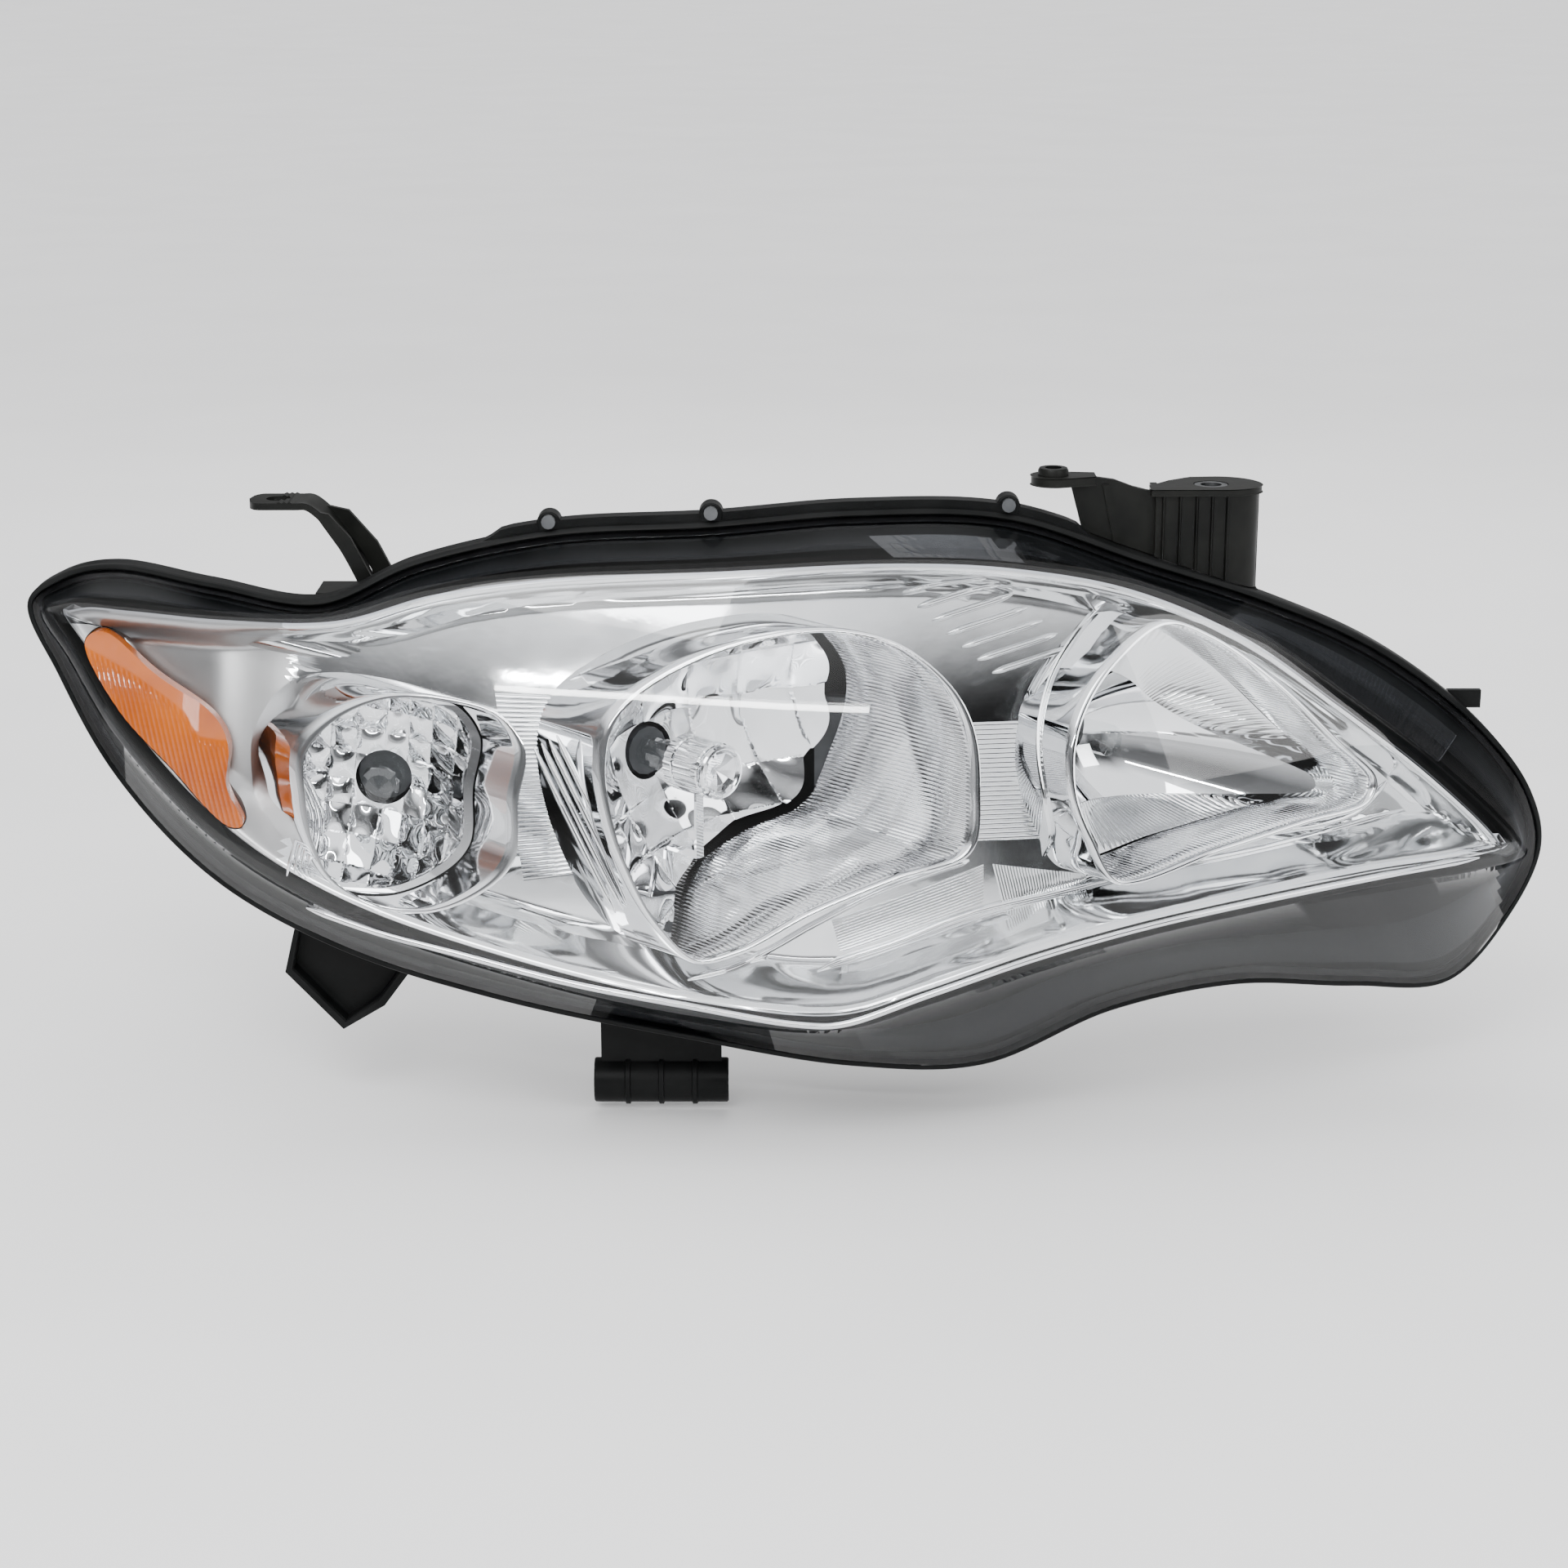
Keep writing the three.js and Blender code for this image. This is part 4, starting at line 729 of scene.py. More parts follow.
def ridge(path, width, height, lift=0.0, perSpan=8):
    # half round moulding that follows the tray along [x, z] points
    line = smoothLine(path, perSpan, False)
    step = np.gradient(line, axis=0)
    across = np.stack([step[:, 1], -step[:, 0]], axis=1) / np.linalg.norm(step, axis=1)[:, None]
    turn = np.linspace(0, 2 * math.pi, 14, endpoint=False)
    rings = []
    for k, (point, side) in enumerate(zip(line, across)):
        size = min(1, 0.25 + 0.5 * min(k, len(line) - 1 - k))
        xz = point + side * (width / 2 * size * np.cos(turn))[:, None]
        y = trayDepth(xz[:, 0], xz[:, 1]).mean() - lift - height * size * np.sin(turn)
        rings.append(np.stack([xz[:, 0], y, xz[:, 1]], axis=1))
    return closedMesh(rings)


def flutedPanel(corners, pitch, rise, along, lift=0.5, step=4):
    # a patch of the tray between four [x, z] corners with round flutes, from side to side if along is set
    a, b, c, d = np.asarray(corners, float)
    wide = max(np.linalg.norm(b - a), np.linalg.norm(c - d))
    tall = max(np.linalg.norm(d - a), np.linalg.norm(c - b))
    across, run = (tall, wide) if along else (wide, tall)
    many, few = int(across / pitch) * step + 1, max(8, int(run / 3))
    u, v = np.meshgrid(np.linspace(0, 1, few if along else many), np.linspace(0, 1, many if along else few))
    w = (v if along else u)[..., None]
    u, v = u[..., None], v[..., None]
    xz = (a * (1 - u) + b * u) * (1 - v) + (d * (1 - u) + c * u) * v
    wave = rise * np.abs(np.sin(math.pi * (many - 1) / step * w[..., 0]))
    y = trayDepth(xz[..., 0], xz[..., 1])
    front = np.stack([xz[..., 0], y - lift - wave, xz[..., 1]], axis=-1)
    back = np.stack([xz[..., 0], y + 0.6, xz[..., 1]], axis=-1)
    return slabMesh(front, back)


def stairs(start, end, count, length, rise, lift=1.0):
    # rounded steps between two [x, z] points, each running the given way
    start, end, length = np.asarray(start, float), np.asarray(end, float), np.asarray(length, float)
    return merged(*[ridge(np.stack([p, p + 0.5 * length, p + length]), 2.6, rise, lift)
                    for p in (start + (end - start) * t for t in np.linspace(0, 1, count))])


trims = {
    "lowerEdge": [[-201, -61], [-169, -69], [-137, -75], [-89, -85], [-41, -93], [7, -101], [24, -101], [60, -89],
                  [105, -75], [150, -65], [200, -58], [256, -53], [300, -51]],
    "shelfEdge": [[14, -86], [46, -76], [76, -65], [113, -57], [151, -50], [208, -43], [270, -35]],
    "lowSill": [[-40, -85], [-14, -82], [12, -68], [38, -55], [64, -46], [78, -42]],
    "highSill": [[130, -52], [143, -50], [191, -40], [247, -34], [262, -22]],
}


def makeBezelDetail():
    panels = {
        "fluteBetweenTurnAndLow": flutedPanel([[-122, 24], [-74, 24], [-62, -44], [-110, -52]], 1.9, 0.5, True),
        "fluteBetweenLowAndHigh": flutedPanel([[60, 14], [104, 14], [112, -34], [62, -34]], 1.9, 0.5, True),
        "fluteShelf": flutedPanel([[20, -66], [84, -44], [84, -60], [24, -80]], 1.3, 0.25, True),
        "fluteShelfRight": flutedPanel([[88, -44], [128, -50], [128, -56], [92, -60]], 1.3, 0.25, False),
        "topSteps": stairs([50, 66], [88, 34], 7, [34, 9], 1.9, 1.4),
    }
    for name, mesh in panels.items():
        piece = newPiece(name, mesh, 40)
        for key in collars:
            carve(piece, collarPlug(key, 1.0), "DIFFERENCE")
        shadeSmooth(piece, 40)
        lay(piece, finishes["chrome"], "housing_assembly", slot="mirror_plastic")
    lines = merged(*[ridge(path, 3.0, 1.7, 0.3) for path in trims.values()])
    lay(newPiece("bezelTrim", lines, 50), finishes["mirror"], "housing_assembly", slot="mirror_plastic")


def barSet(start, end, bow, count, apart, width, height, lift):
    # parallel rounded bars from [x, z] to [x, z], bowed sideways and set side by side
    start, end = np.asarray(start, float), np.asarray(end, float)
    along = (end - start) / np.linalg.norm(end - start)
    side = np.array([along[1], -along[0]])
    bars = []
    for k in range(count):
        a, b = start + side * apart * k, end + side * apart * k
        bars.append(ridge(np.stack([a, 0.5 * (a + b) + side * bow, b]), width, height, lift))
    return merged(*bars)


bezelTray = lay(makeTray(), finishes["chrome"], "housing_assembly", "bezel", slot="mirror_plastic")
splitFinish(bezelTray, "satin", lambda x, intoCar: x < -212)
for key in collars:
    made = newPiece(key + "Collar", makeCollar(key), 40)
    lay(made, finishes["mirror"], "housing_assembly", "bezel", slot="mirror_plastic")
makeBezelDetail()
bars = {  # start, end, bow, count, apart, width, height, lift
    "lowCollarBars": ([-104, 8], [-70, -58], 0, 4, -3.6, 2.8, 1.8, 19),
    "turnCollarBars": ([-213, -12], [-207, -44], -4, 5, -2.6, 2.1, 1.4, 15),
}
for name, values in bars.items():
    lay(newPiece(name, barSet(*values), 50), finishes["mirror"], "housing_assembly", slot="mirror_plastic")
print("bezel made")

# bowls
bowls = {
    "low": {"x": 0, "z": -3, "vertex": 88, "fallX": 116, "fallZ": 110, "hole": 12.5, "wall": 3},
    "high": {"x": 140, "z": 3, "vertex": -24, "fallX": 50, "fallZ": 60, "hole": 12.5, "wall": 3},
    "seamsU": [-70, -48, -22, 1, 24, 44, 62, 90],
    "seamsW": [-90, -60, -41, -23, 10, 32, 60],
}


def bowlDepth(b, x, z):
    return b["vertex"] - (x - b["x"]) ** 2 / b["fallX"] - (z - b["z"]) ** 2 / b["fallZ"]


def tiled(u, w, seamsU, seamsW, bulge, tilt):
    # each tile swells towards its middle and leans its own small way; seams show where tiles meet
    i = np.clip(np.searchsorted(seamsU, u) - 1, 0, len(seamsU) - 2)
    j = np.clip(np.searchsorted(seamsW, w) - 1, 0, len(seamsW) - 2)
    a, b = np.asarray(seamsU, float)[i], np.asarray(seamsU, float)[i + 1]
    c, d = np.asarray(seamsW, float)[j], np.asarray(seamsW, float)[j + 1]
    p, q = 2 * (u - a) / (b - a) - 1, 2 * (w - c) / (d - c) - 1
    leanU, leanW = np.sin(12.9 * i + 78.2 * j), np.sin(39.3 * i + 11.1 * j)
    return bulge * (1 - p**2) * (1 - q**2) + tilt * (leanU * p + leanW * q)


def polarRadius(loop, centre, angles):  # distance from a centre to an outline in each direction
    d = loop - centre
    bearing, reach = np.arctan2(d[:, 1], d[:, 0]), np.hypot(d[:, 0], d[:, 1])
    order = np.argsort(bearing)
    return np.interp(angles, bearing[order], reach[order], period=2 * math.pi)


def bowlMesh(b, edge, depthFront, cols, rows):
    # rings from the bulb hole out to the edge outline, front and back
    centre = np.array([b["x"], b["z"]], float)
    angles = np.linspace(-math.pi, math.pi, cols, endpoint=False)
    reach = polarRadius(edge, centre, angles)
    way = np.stack([np.cos(angles), np.sin(angles)], axis=1)
    rings = []
    for t in np.linspace(0, 1, rows):
        xz = centre + way * blended(np.full(cols, float(b["hole"])), reach, t)[:, None]
        rings.append(np.stack([xz[:, 0], depthFront(xz[:, 0], xz[:, 1]), xz[:, 1]], axis=1))
    for t in (1, 0.66, 0.33, 0):
        xz = centre + way * blended(np.full(cols, float(b["hole"])), reach, t)[:, None]
        rings.append(np.stack([xz[:, 0], bowlDepth(b, xz[:, 0], xz[:, 1]) + b["wall"], xz[:, 1]], axis=1))
    return closedMesh(rings, True)


def lowFront(x, z):
    u, w = x + 0.28 * z, z - 0.2 * x
    return bowlDepth(bowls["low"], x, z) - tiled(u, w, bowls["seamsU"], bowls["seamsW"], 1.9, 0.7)


def highFront(x, z):
    lean = tiled(x + 0.35 * z, z - 0.03 * x, [60, 132, 260], [-70, -6, 70], 0.8, 0.5)
    return bowlDepth(bowls["high"], x, z) - lean


def highFunnel():
    # fluted wall from the plain mirror's outline out to just short of the collar
    b = bowls["high"]
    centre = np.array([150.0, 0.0])
    flutes = 150
    angles = np.linspace(-math.pi, math.pi, flutes * 6, endpoint=False)
    way = np.stack([np.cos(angles), np.sin(angles)], axis=1)
    near = polarRadius(smoothLine(outlines["leaf"], 12), centre, angles)
    far = polarRadius(inset(smoothLine(outlines["high"], 12), -1), centre, angles)
    wave = 0.4 * np.abs(np.sin(math.pi * np.arange(len(angles)) / 6))
    leafEdge = centre + way * near[:, None]
    depthIn = bowlDepth(b, leafEdge[:, 0], leafEdge[:, 1]) - 0.6
    mouth = centre + way * far[:, None]
    front = beamPoints(mouth, 45.5)
    mouthDepth = front[:, 1] * cosSweep - front[:, 0] * sinSweep
    rings = []
    for t in np.linspace(0, 1, 14):
        xz = centre + way * (blended(near, far, t) - wave * (0 if t in (0.0, 1.0) else 1))[:, None]
        y = blended(depthIn, np.minimum(mouthDepth, depthIn - 1), t**1.3)
        rings.append(np.stack([xz[:, 0], y, xz[:, 1]], axis=1))
    for t in (1, 0.5, 0):
        xz = centre + way * (blended(near, far, t) + 1.2)[:, None]
        y = blended(depthIn, np.minimum(mouthDepth, depthIn - 1), t**1.3) + 1.0
        rings.append(np.stack([xz[:, 0], y, xz[:, 1]], axis=1))
    return closedMesh(rings, True)


def lowBowlEdge():
    # inside the collar the edge keeps clear of it; where the bowl lies behind the collar's end it reaches past it
    loop = smoothLine(outlines["low"], 12)
    y = bowlDepth(bowls["low"], loop[:, 0], loop[:, 1])
    q = beamToLamp(np.stack([loop[:, 0], y, loop[:, 1]], axis=1))
    behindEnd = q[:, 1] - sheetDepth(q[:, 0], q[:, 2]) - collarBack(loop, collars["low"])
    inside = blended(5.0, 6.8, smoothStep(-loop[:, 0] - 0.6 * loop[:, 1], 20, 45))
    return inset(loop, blended(inside, -1.5, smoothStep(behindEnd, 5.0, 8.0)))


lowEdge = lowBowlEdge()
highEdge = smoothLine(outlines["leaf"], 12)
lowBowl = newPiece("lowBowl", asBeam(bowlMesh(bowls["low"], lowEdge, lowFront, 600, 110)), 30)
lay(lowBowl, finishes["mirror"], "reflector", "main_reflector", slot="mirror_plastic")
highBowl = newPiece("highBowl", asBeam(bowlMesh(bowls["high"], highEdge, highFront, 480, 70)), 30)
lay(highBowl, finishes["mirror"], "reflector", "main_reflector", slot="mirror_plastic")
funnel = newPiece("highFunnel", asBeam(highFunnel()), 50)
lay(funnel, finishes["chrome"], "reflector", "main_reflector", slot="mirror_plastic")

turnBowl = {
    "x": -171, "z": -14, "hole": 12, "depth": 60, "wall": 2.3, "inset": 2.6, "front": 24,
    "seamsU": [-60, -34, -22, -11, 1, 11, 21, 32, 60],
    "seamsW": [-60, -37, -26, -14, -3, 9, 20, 31, 60],
}


def makeTurnBowl():  # faceted, from the bulb's hole out to just inside its collar
    b = turnBowl
    guide = smoothLine(outlines["turn"], 36)
    centre = np.array([b["x"], 0, b["z"]], float)

    def between(gap, neckRadius, back, shares, tiles):
        mouth = beamPoints(inset(guide, b["inset"] + gap), b["front"])
        angle = np.arctan2(mouth[:, 2] - b["z"], mouth[:, 0] - b["x"])
        neck = centre + neckRadius * np.stack([np.cos(angle), 0 * angle, np.sin(angle)], axis=1)
        rings = []
        for t in shares:
            p = blended(neck, mouth, t)
            u, w = p[:, 0] - b["x"] - 0.12 * p[:, 2], p[:, 2] - b["z"] + 0.18 * p[:, 0] + 31
            relief = tiled(u, w, b["seamsU"], b["seamsW"], 1.5, 1.0) * tiles
            p[:, 1] = blended(back, mouth[:, 1], t**1.8) - relief * math.sin(math.pi * min(1, t + 0.02)) ** 0.25
            rings.append(p)
        return rings

    rings = between(b["wall"], b["hole"], b["depth"], np.linspace(0, 0.98, 90), 1)
    rings += between(b["wall"], b["hole"], b["depth"], [1.0], 0)
    rings += between(0, b["hole"] + b["wall"], b["depth"] + b["wall"], [1.0, 0.6, 0.3, 0], 0)
    return closedMesh(rings, True)


shade = {"front": 37.4, "lip": 38.6, "back": 62, "radius": 12, "wall": 1.2, "flats": 20, "gem": 10, "apex": 41.6}


def makeShade():  # a cap over the low beam bulb: a cylinder of flats, a ring lip and a sunk cone of ten facets
    c, x, z = shade, bowls["low"]["x"], bowls["low"]["z"]
    angle = np.linspace(0, 2 * math.pi, 240, endpoint=False)
    part = 2 * math.pi / c["gem"]
    gem = math.cos(part / 2) / np.cos(angle % part - part / 2)
    flats = 1 - 0.030 * (1 - np.abs(np.sin(c["flats"] / 2 * angle))) ** 2
    r, floor = c["radius"], c["apex"] + 1.2
    profile = [(0.02, c["apex"], gem), (0.35 * r, c["front"] + 2.1, gem), (0.70 * r, c["front"] + 1.0, gem),
               (0.76 * r, c["front"] + 1.4, 1), (0.80 * r, c["front"] + 0.4, 1), (0.85 * r, c["front"], 1),
               (0.93 * r, c["front"] + 0.3, 1), (0.97 * r, c["lip"], 1), (0.965 * r, c["lip"] + 1.2, 1),
               (0.945 * r, c["lip"] + 1.8, 1), (0.945 * r, c["lip"] + 2.6, 1), (r, c["lip"] + 3.2, flats),
               (r, c["back"] - 6.4, flats), (0.94 * r, c["back"] - 6.0, 1), (0.94 * r, c["back"] - 5.0, 1),
               (r, c["back"] - 4.6, flats), (r, c["back"], flats), (r - c["wall"], c["back"], 1),
               (r - c["wall"], floor, 1), (0.02, floor, 1)]
    wide = np.stack([np.cos(angle), np.sin(angle)], axis=1)
    rings = []
    for size, y, shape in profile:
        xz = np.array([x, z]) + (size * shape * np.ones(len(angle)))[:, None] * wide
        rings.append(np.stack([xz[:, 0], np.full(len(angle), y), xz[:, 1]], axis=1))
    strap = merged(boxMesh(x - 2, x + 2, 52, 71, z - 40.5, z - 39), boxMesh(x - 2, x + 2, 52, 53.5, z - 39, z - r))
    return merged(closedMesh(rings), strap)


amber = {
    "ridge": [[-301, 37], [-278, 28], [-255, 15], [-248, 6], [-240, 5]],
    "front": 8.6, "crest": 3.6, "upper": 0.30, "lower": 0.075, "pitch": 2.3, "rise": 0.55,
}


def makeAmber():  # a smooth facet above a ridge line and upright prisms below it, cut to the window's outline
    a = amber
    x, z = np.meshgrid(np.arange(-304, -225, 0.46), np.arange(-34, 47, 0.9))
    line = smoothLine(a["ridge"], 6, False)
    ridgeZ = np.interp(x, line[:, 0], line[:, 1])
    away = (z - ridgeZ) * np.where(z > ridgeZ, a["upper"], -a["lower"])
    prisms = a["rise"] * np.abs(np.sin(math.pi * (x + 0.25 * z) / a["pitch"])) * smoothStep(ridgeZ - z, 0.5, 2.5)
    y = sheetDepth(x, z) + a["front"] - a["crest"] + away - prisms
    back = np.stack([x, sheetDepth(x, z) + a["front"] + 6, z], axis=-1)
    piece = newPiece("amberReflector", slabMesh(np.stack([x, y, z], axis=-1), back), 30)
    loop = inset(smoothLine(outlines["amber"], 12), -0.4)
    carve(piece, closedMesh([ringAt(loop, behind(sheetDepth, 2)), ringAt(loop, behind(sheetDepth, 14))]), "INTERSECT")
    shadeSmooth(piece, 30)
    return piece


lay(newPiece("turnBowl", makeTurnBowl(), 24), finishes["mirror"], "housing_assembly", "turn_reflector",
    slot="mirror_plastic")
lay(newPiece("shadeCap", asBeam(makeShade()), 24), finishes["mirror"], "reflector", "bulb_shade",
    slot="mirror_plastic")
lay(makeAmber(), finishes["amber"], "housing_assembly", "side_marker_reflector", slot="amber_plastic")
print("bowls made")

# brackets

def postMesh(x, y, radius, z0, z1, sides=48):  # an upright cylinder
    turn = np.linspace(0, 2 * math.pi, sides, endpoint=False)
    ring = np.stack([x + radius * np.cos(turn), y + radius * np.sin(turn)], axis=1)
    return closedMesh([np.column_stack([ring, np.full(sides, z)]) for z in (z0, z1)])


def lathePost(x, y, profile, sides=48):  # [radius, height] pairs carried round an upright line
    turn = np.linspace(0, 2 * math.pi, sides, endpoint=False)
    return closedMesh([np.stack([x + r * np.cos(turn), y + r * np.sin(turn), np.full(sides, h)], axis=1)
                       for r, h in profile])


def shelfMesh(points, z0, z1, soft=0.5):  # an [x, y] outline between two heights with softened edges
    loop = np.asarray(points, float)
    levels = ((soft, z0), (0, z0 + soft), (0, z1 - soft), (soft, z1))
    return closedMesh([np.column_stack([inset(loop, d, 1), np.full(len(loop), z)]) for d, z in levels])


def seatCut(gap=0.4):  # the room that the housing takes, grown by the gap between touching pieces
    low, high = [inset(shrink(rim, sx, sz, (20, -12)), -gap) for sx, sz in ((0.91, 0.82), (0.94, 0.87))]
    return closedMesh([
        ringAt(low, behind(backDepth, gap)), ringAt(low, behind(backDepth, gap - 4)),
        ringAt(high, behind(backDepth, gap - 8)), ringAt(inset(rim, 4 - gap), behind(rimDepth, 12 + gap)),
        ringAt(inset(rim, -gap), behind(rimDepth, 12 + gap)), ringAt(inset(rim, -gap), behind(rimDepth, -4)),
    ])


screwFit = {"hole": 2.4, "head": 5.5}


def screwCuts(places):  # a hole through the foot at each screw and room for its head behind
    holes = [barMesh(x, z, screwFit["hole"], 90, 150, 24) for x, z in places]
    return holes + [barMesh(x, z, screwFit["head"], backDepth(x, z) + 5, 170, 32) for x, z in places]


innerBracket = {
    "left": 158, "front": 99, "bottom": 100, "top": 103,  # the plate
    "corner": (189, 112), "round": 18, "nose": 13,
    "tail": [[178, 129], [168, 121], [158, 108]],
    "plateHole": (185, 112.5, 7.6, 90, 110),
    "skirtTurn": (188.5, 112, 18, 12.6), "skirtRun": [[160, 99.4], [175, 99.4]], "skirtEnd": [206.5, 124],
    "skirtLevels": (24, 60, 99, 100.2), "skirtRibs": (6, 19, 32, 44, 56), "ribRise": 1.5, "skin": 0.9, "wall": 3.2,
    "ear": (116, 106.5), "earRound": 9.5, "earRoot": [[134, 103], [134, 113]], "earLevels": (104, 108),
    "earBoss": ((6.6, 107), (6.6, 110.2), (6.0, 111.3), (3, 111.3), (3, 107)), "earHole": 3.6,
    "arm": [[123.5, 104], [127, 107.3], [134, 107.6], [142, 106.5], [150, 103.5], [156, 102], [162, 101],
            [162, 40], [148, 48], [134, 62], [130, 80]],
    "armDepth": (103.4, 106.4),
    "brace": [[137, 104.5], [140, 104.5], [149, 62], [146, 62]], "braceDepth": (102.6, 104),
    "boxes": ((160, 163, 105, 127, 20, 101), (203, 206, 112, 127, 20, 101), (175, 177, 102, 125, 24, 101),
              (189, 191, 102, 125, 24, 101), (160, 206, 106, 131, 20, 58)),
}


def roundPlate():  # straight at the front and left, round at the right, drawn in at the back left
    b = innerBracket
    x, y = b["corner"]
    turn = np.radians(np.linspace(0, 90, 14))
    corner = np.stack([x + b["round"] * np.cos(turn), y + b["round"] * np.sin(turn)], axis=1)
    nose = np.stack([x + b["round"] * np.cos(-turn[::-1]), y - b["nose"] * np.sin(turn[::-1])], axis=1)[:-1]
    return np.vstack([[[b["left"], b["front"]]], nose, corner, b["tail"]])


def ribbonMesh(line, out, lift, sink, levels):  # an upright wall along an [x, y] line between two offsets of it
    sides = (line + out * lift[:, None], line - out * sink)
    return slabMesh(*[np.stack([np.column_stack([side, np.full(len(side), z)]) for z in levels]) for side in sides])


def skirtMesh(count=400):  # a wall that follows the front of the plate down to the lamp, with upright ribs on it
    b = innerBracket
    x, y, wide, deep = b["skirtTurn"]
    turn = np.radians(np.linspace(90, 0, 40))
    bend = np.stack([x + wide * np.cos(turn), y - deep * np.sin(turn)], axis=1)
    curve = np.vstack([b["skirtRun"], bend, [b["skirtEnd"]]])
    line = evenLine(curve, count, False)
    along = np.linspace(0, lengthOf(curve), count)
    rib = sum(np.exp(-((along - place) ** 4)) for place in b["skirtRibs"])
    step = np.gradient(line, axis=0)
    out = np.stack([step[:, 1], -step[:, 0]], axis=1) / np.linalg.norm(step, axis=1)[:, None]
    return ribbonMesh(line, out, b["ribRise"] * rib - b["skin"], b["wall"], b["skirtLevels"])


def makeInnerBracket():
    b = innerBracket
    x, y = b["ear"]
    piece = newPiece("innerBracket", shelfMesh(roundPlate(), b["bottom"], b["top"]), 35)
    turn = np.radians(np.linspace(60, 300, 30))
    tip = np.stack([x + b["earRound"] * np.cos(turn), y + b["earRound"] * np.sin(turn)], axis=1)
    joined = [
        skirtMesh(), shelfMesh(np.vstack([b["earRoot"], tip]), *b["earLevels"]), lathePost(x, y, b["earBoss"]),
        wallMesh(b["arm"], *b["armDepth"]), *[boxMesh(*box) for box in b["boxes"]],
        wallMesh(b["brace"], *b["braceDepth"]),
    ]
    cuts = [postMesh(*b["plateHole"]), postMesh(x, y, b["earHole"], 90, 120), seatCut()]
    for mesh in joined:
        carve(piece, mesh, "UNION")
    for mesh in cuts + screwCuts(housing["screws"][:2]):
        carve(piece, mesh, "DIFFERENCE")
    shadeSmooth(piece, 35)
    return piece


outerBracket = {
    "bend": [[-231.5, 95.5], [-222, 95.5], [-210, 95.5], [-205.5, 95.4], [-201, 92.4], [-196.6, 87.6], [-190, 77],
             [-183, 63], [-177.5, 50], [-173.5, 31]],
    "depth": 110.5, "half": 11.4, "round": 11.0, "skin": 1.5,
    "folds": (27, 31.5, 36), "foldWidth": 1.1, "foldRise": 0.55, "hollow": 1.6, "hollowFrom": (38, 52),
    "web": [[-205, 93.4], [-196.6, 88.5], [-188, 77], [-180, 62], [-172, 36], [-164, 36], [-168, 56], [-178, 76],
            [-190, 90]],
    "webDepth": (119.6, 122.6),
    "flange": [[-203, 93.6], [-188, 74], [-178, 52], [-176, 36], [-170, 36], [-176, 60], [-187, 82], [-196, 92.2]],
    "flangeDepth": (99, 101.5),
    "foot": (-204, -164, 106, 131, 22, 56),
    "hole": (-219, 110.5, 5.2, 80, 110),
}


def makeOuterBracket():  # a bent strap: flat ear, fold lines, then a hollowed web down to the foot
    b = outerBracket
    count = 90
    line = evenLine(smoothLine(b["bend"], 8, False), count, False)
    step = np.gradient(line, axis=0)
    out = np.stack([-step[:, 1], step[:, 0]], axis=1) / np.linalg.norm(step, axis=1)[:, None]
    along = np.linspace(0, lengthOf(line), count)
    fold = sum(np.exp(-(((along - at) / b["foldWidth"]) ** 4)) for at in b["folds"])
    end = np.clip(along / b["round"], 0, 1)
    half = b["half"] * np.sqrt(1 - (1 - end) ** 2) + 0.3
    share = np.linspace(-1, 1, 25)
    hollow = smoothStep(along, *b["hollowFrom"])[:, None] * (1 - share**2)[None, :] * b["hollow"]
    y = b["depth"] + half[:, None] * share[None, :]
    top = (b["skin"] + b["foldRise"] * fold)[:, None] - hollow
    low = -b["skin"] - hollow

    def side(lift):
        x, z = [line[:, None, k] + out[:, None, k] * lift for k in (0, 1)]
        return np.stack([x, y, z], axis=-1)

    piece = newPiece("outerBracket", slabMesh(side(top), side(low)), 35)
    for mesh in (wallMesh(b["web"], *b["webDepth"]), wallMesh(b["flange"], *b["flangeDepth"]), boxMesh(*b["foot"])):
        carve(piece, mesh, "UNION")
    for mesh in [postMesh(*b["hole"]), seatCut(), *screwCuts(housing["screws"][2:])]:
        carve(piece, mesh, "DIFFERENCE")
    shadeSmooth(piece, 35)
    return piece


reflectorFrame = {
    "balls": [(28, 80, 48), (28, 80, -48), (-98, 80, 48)],  # pivot, vertical and horizontal aim
    "boss": 8.9, "soft": 0.6, "front": 7.6, "back": 5, "pocket": 7.7, "pocketFloor": 6,
    "arm": [[9, 69], [7, 99], [-14, 114], [-12, 119], [10, 103], [14, 69]],  # plan outlines as [x, y]
    "armLevels": (38, 50),
    "upright": [[78.5, 35.9], [86.5, 18], [90, 20], [81, 38]],
    "uprightLevels": (-54, 54),
    "bridge": [[66, 51.5], [72, 45.5], [87.5, 18.5], [105, -21], [116, -34], [118, -31], [108, -19], [90, 20],
               [74, 50]],
    "bridgeLevels": (-34, 16),
}


def makeReflectorFrame():  # the arms that join the two bowls and carry the cups of the three aiming balls
    f = reflectorFrame
    piece = newPiece("reflectorFrame", asBeam(shelfMesh(f["bridge"], *f["bridgeLevels"])), 35)
    for part in ("upright", "arm"):
        carve(piece, asBeam(shelfMesh(f[part], *f[part + "Levels"])), "UNION")
    for x, y, z in f["balls"]:
        wide, narrow, start, end = f["boss"], f["boss"] - f["soft"], y - f["front"], y + f["back"]
        boss = [[0.01, start], [narrow, start], [wide, start + f["soft"]], [wide, end - f["soft"]],
                [narrow, end], [0.01, end]]
        carve(piece, lathe(boss, x, z, 56), "UNION")
    for x, y, z in f["balls"]:
        carve(piece, barMesh(x, z, f["pocket"], y - f["pocketFloor"], y + 12, 56), "DIFFERENCE")
    shadeSmooth(piece, 35)
    return piece


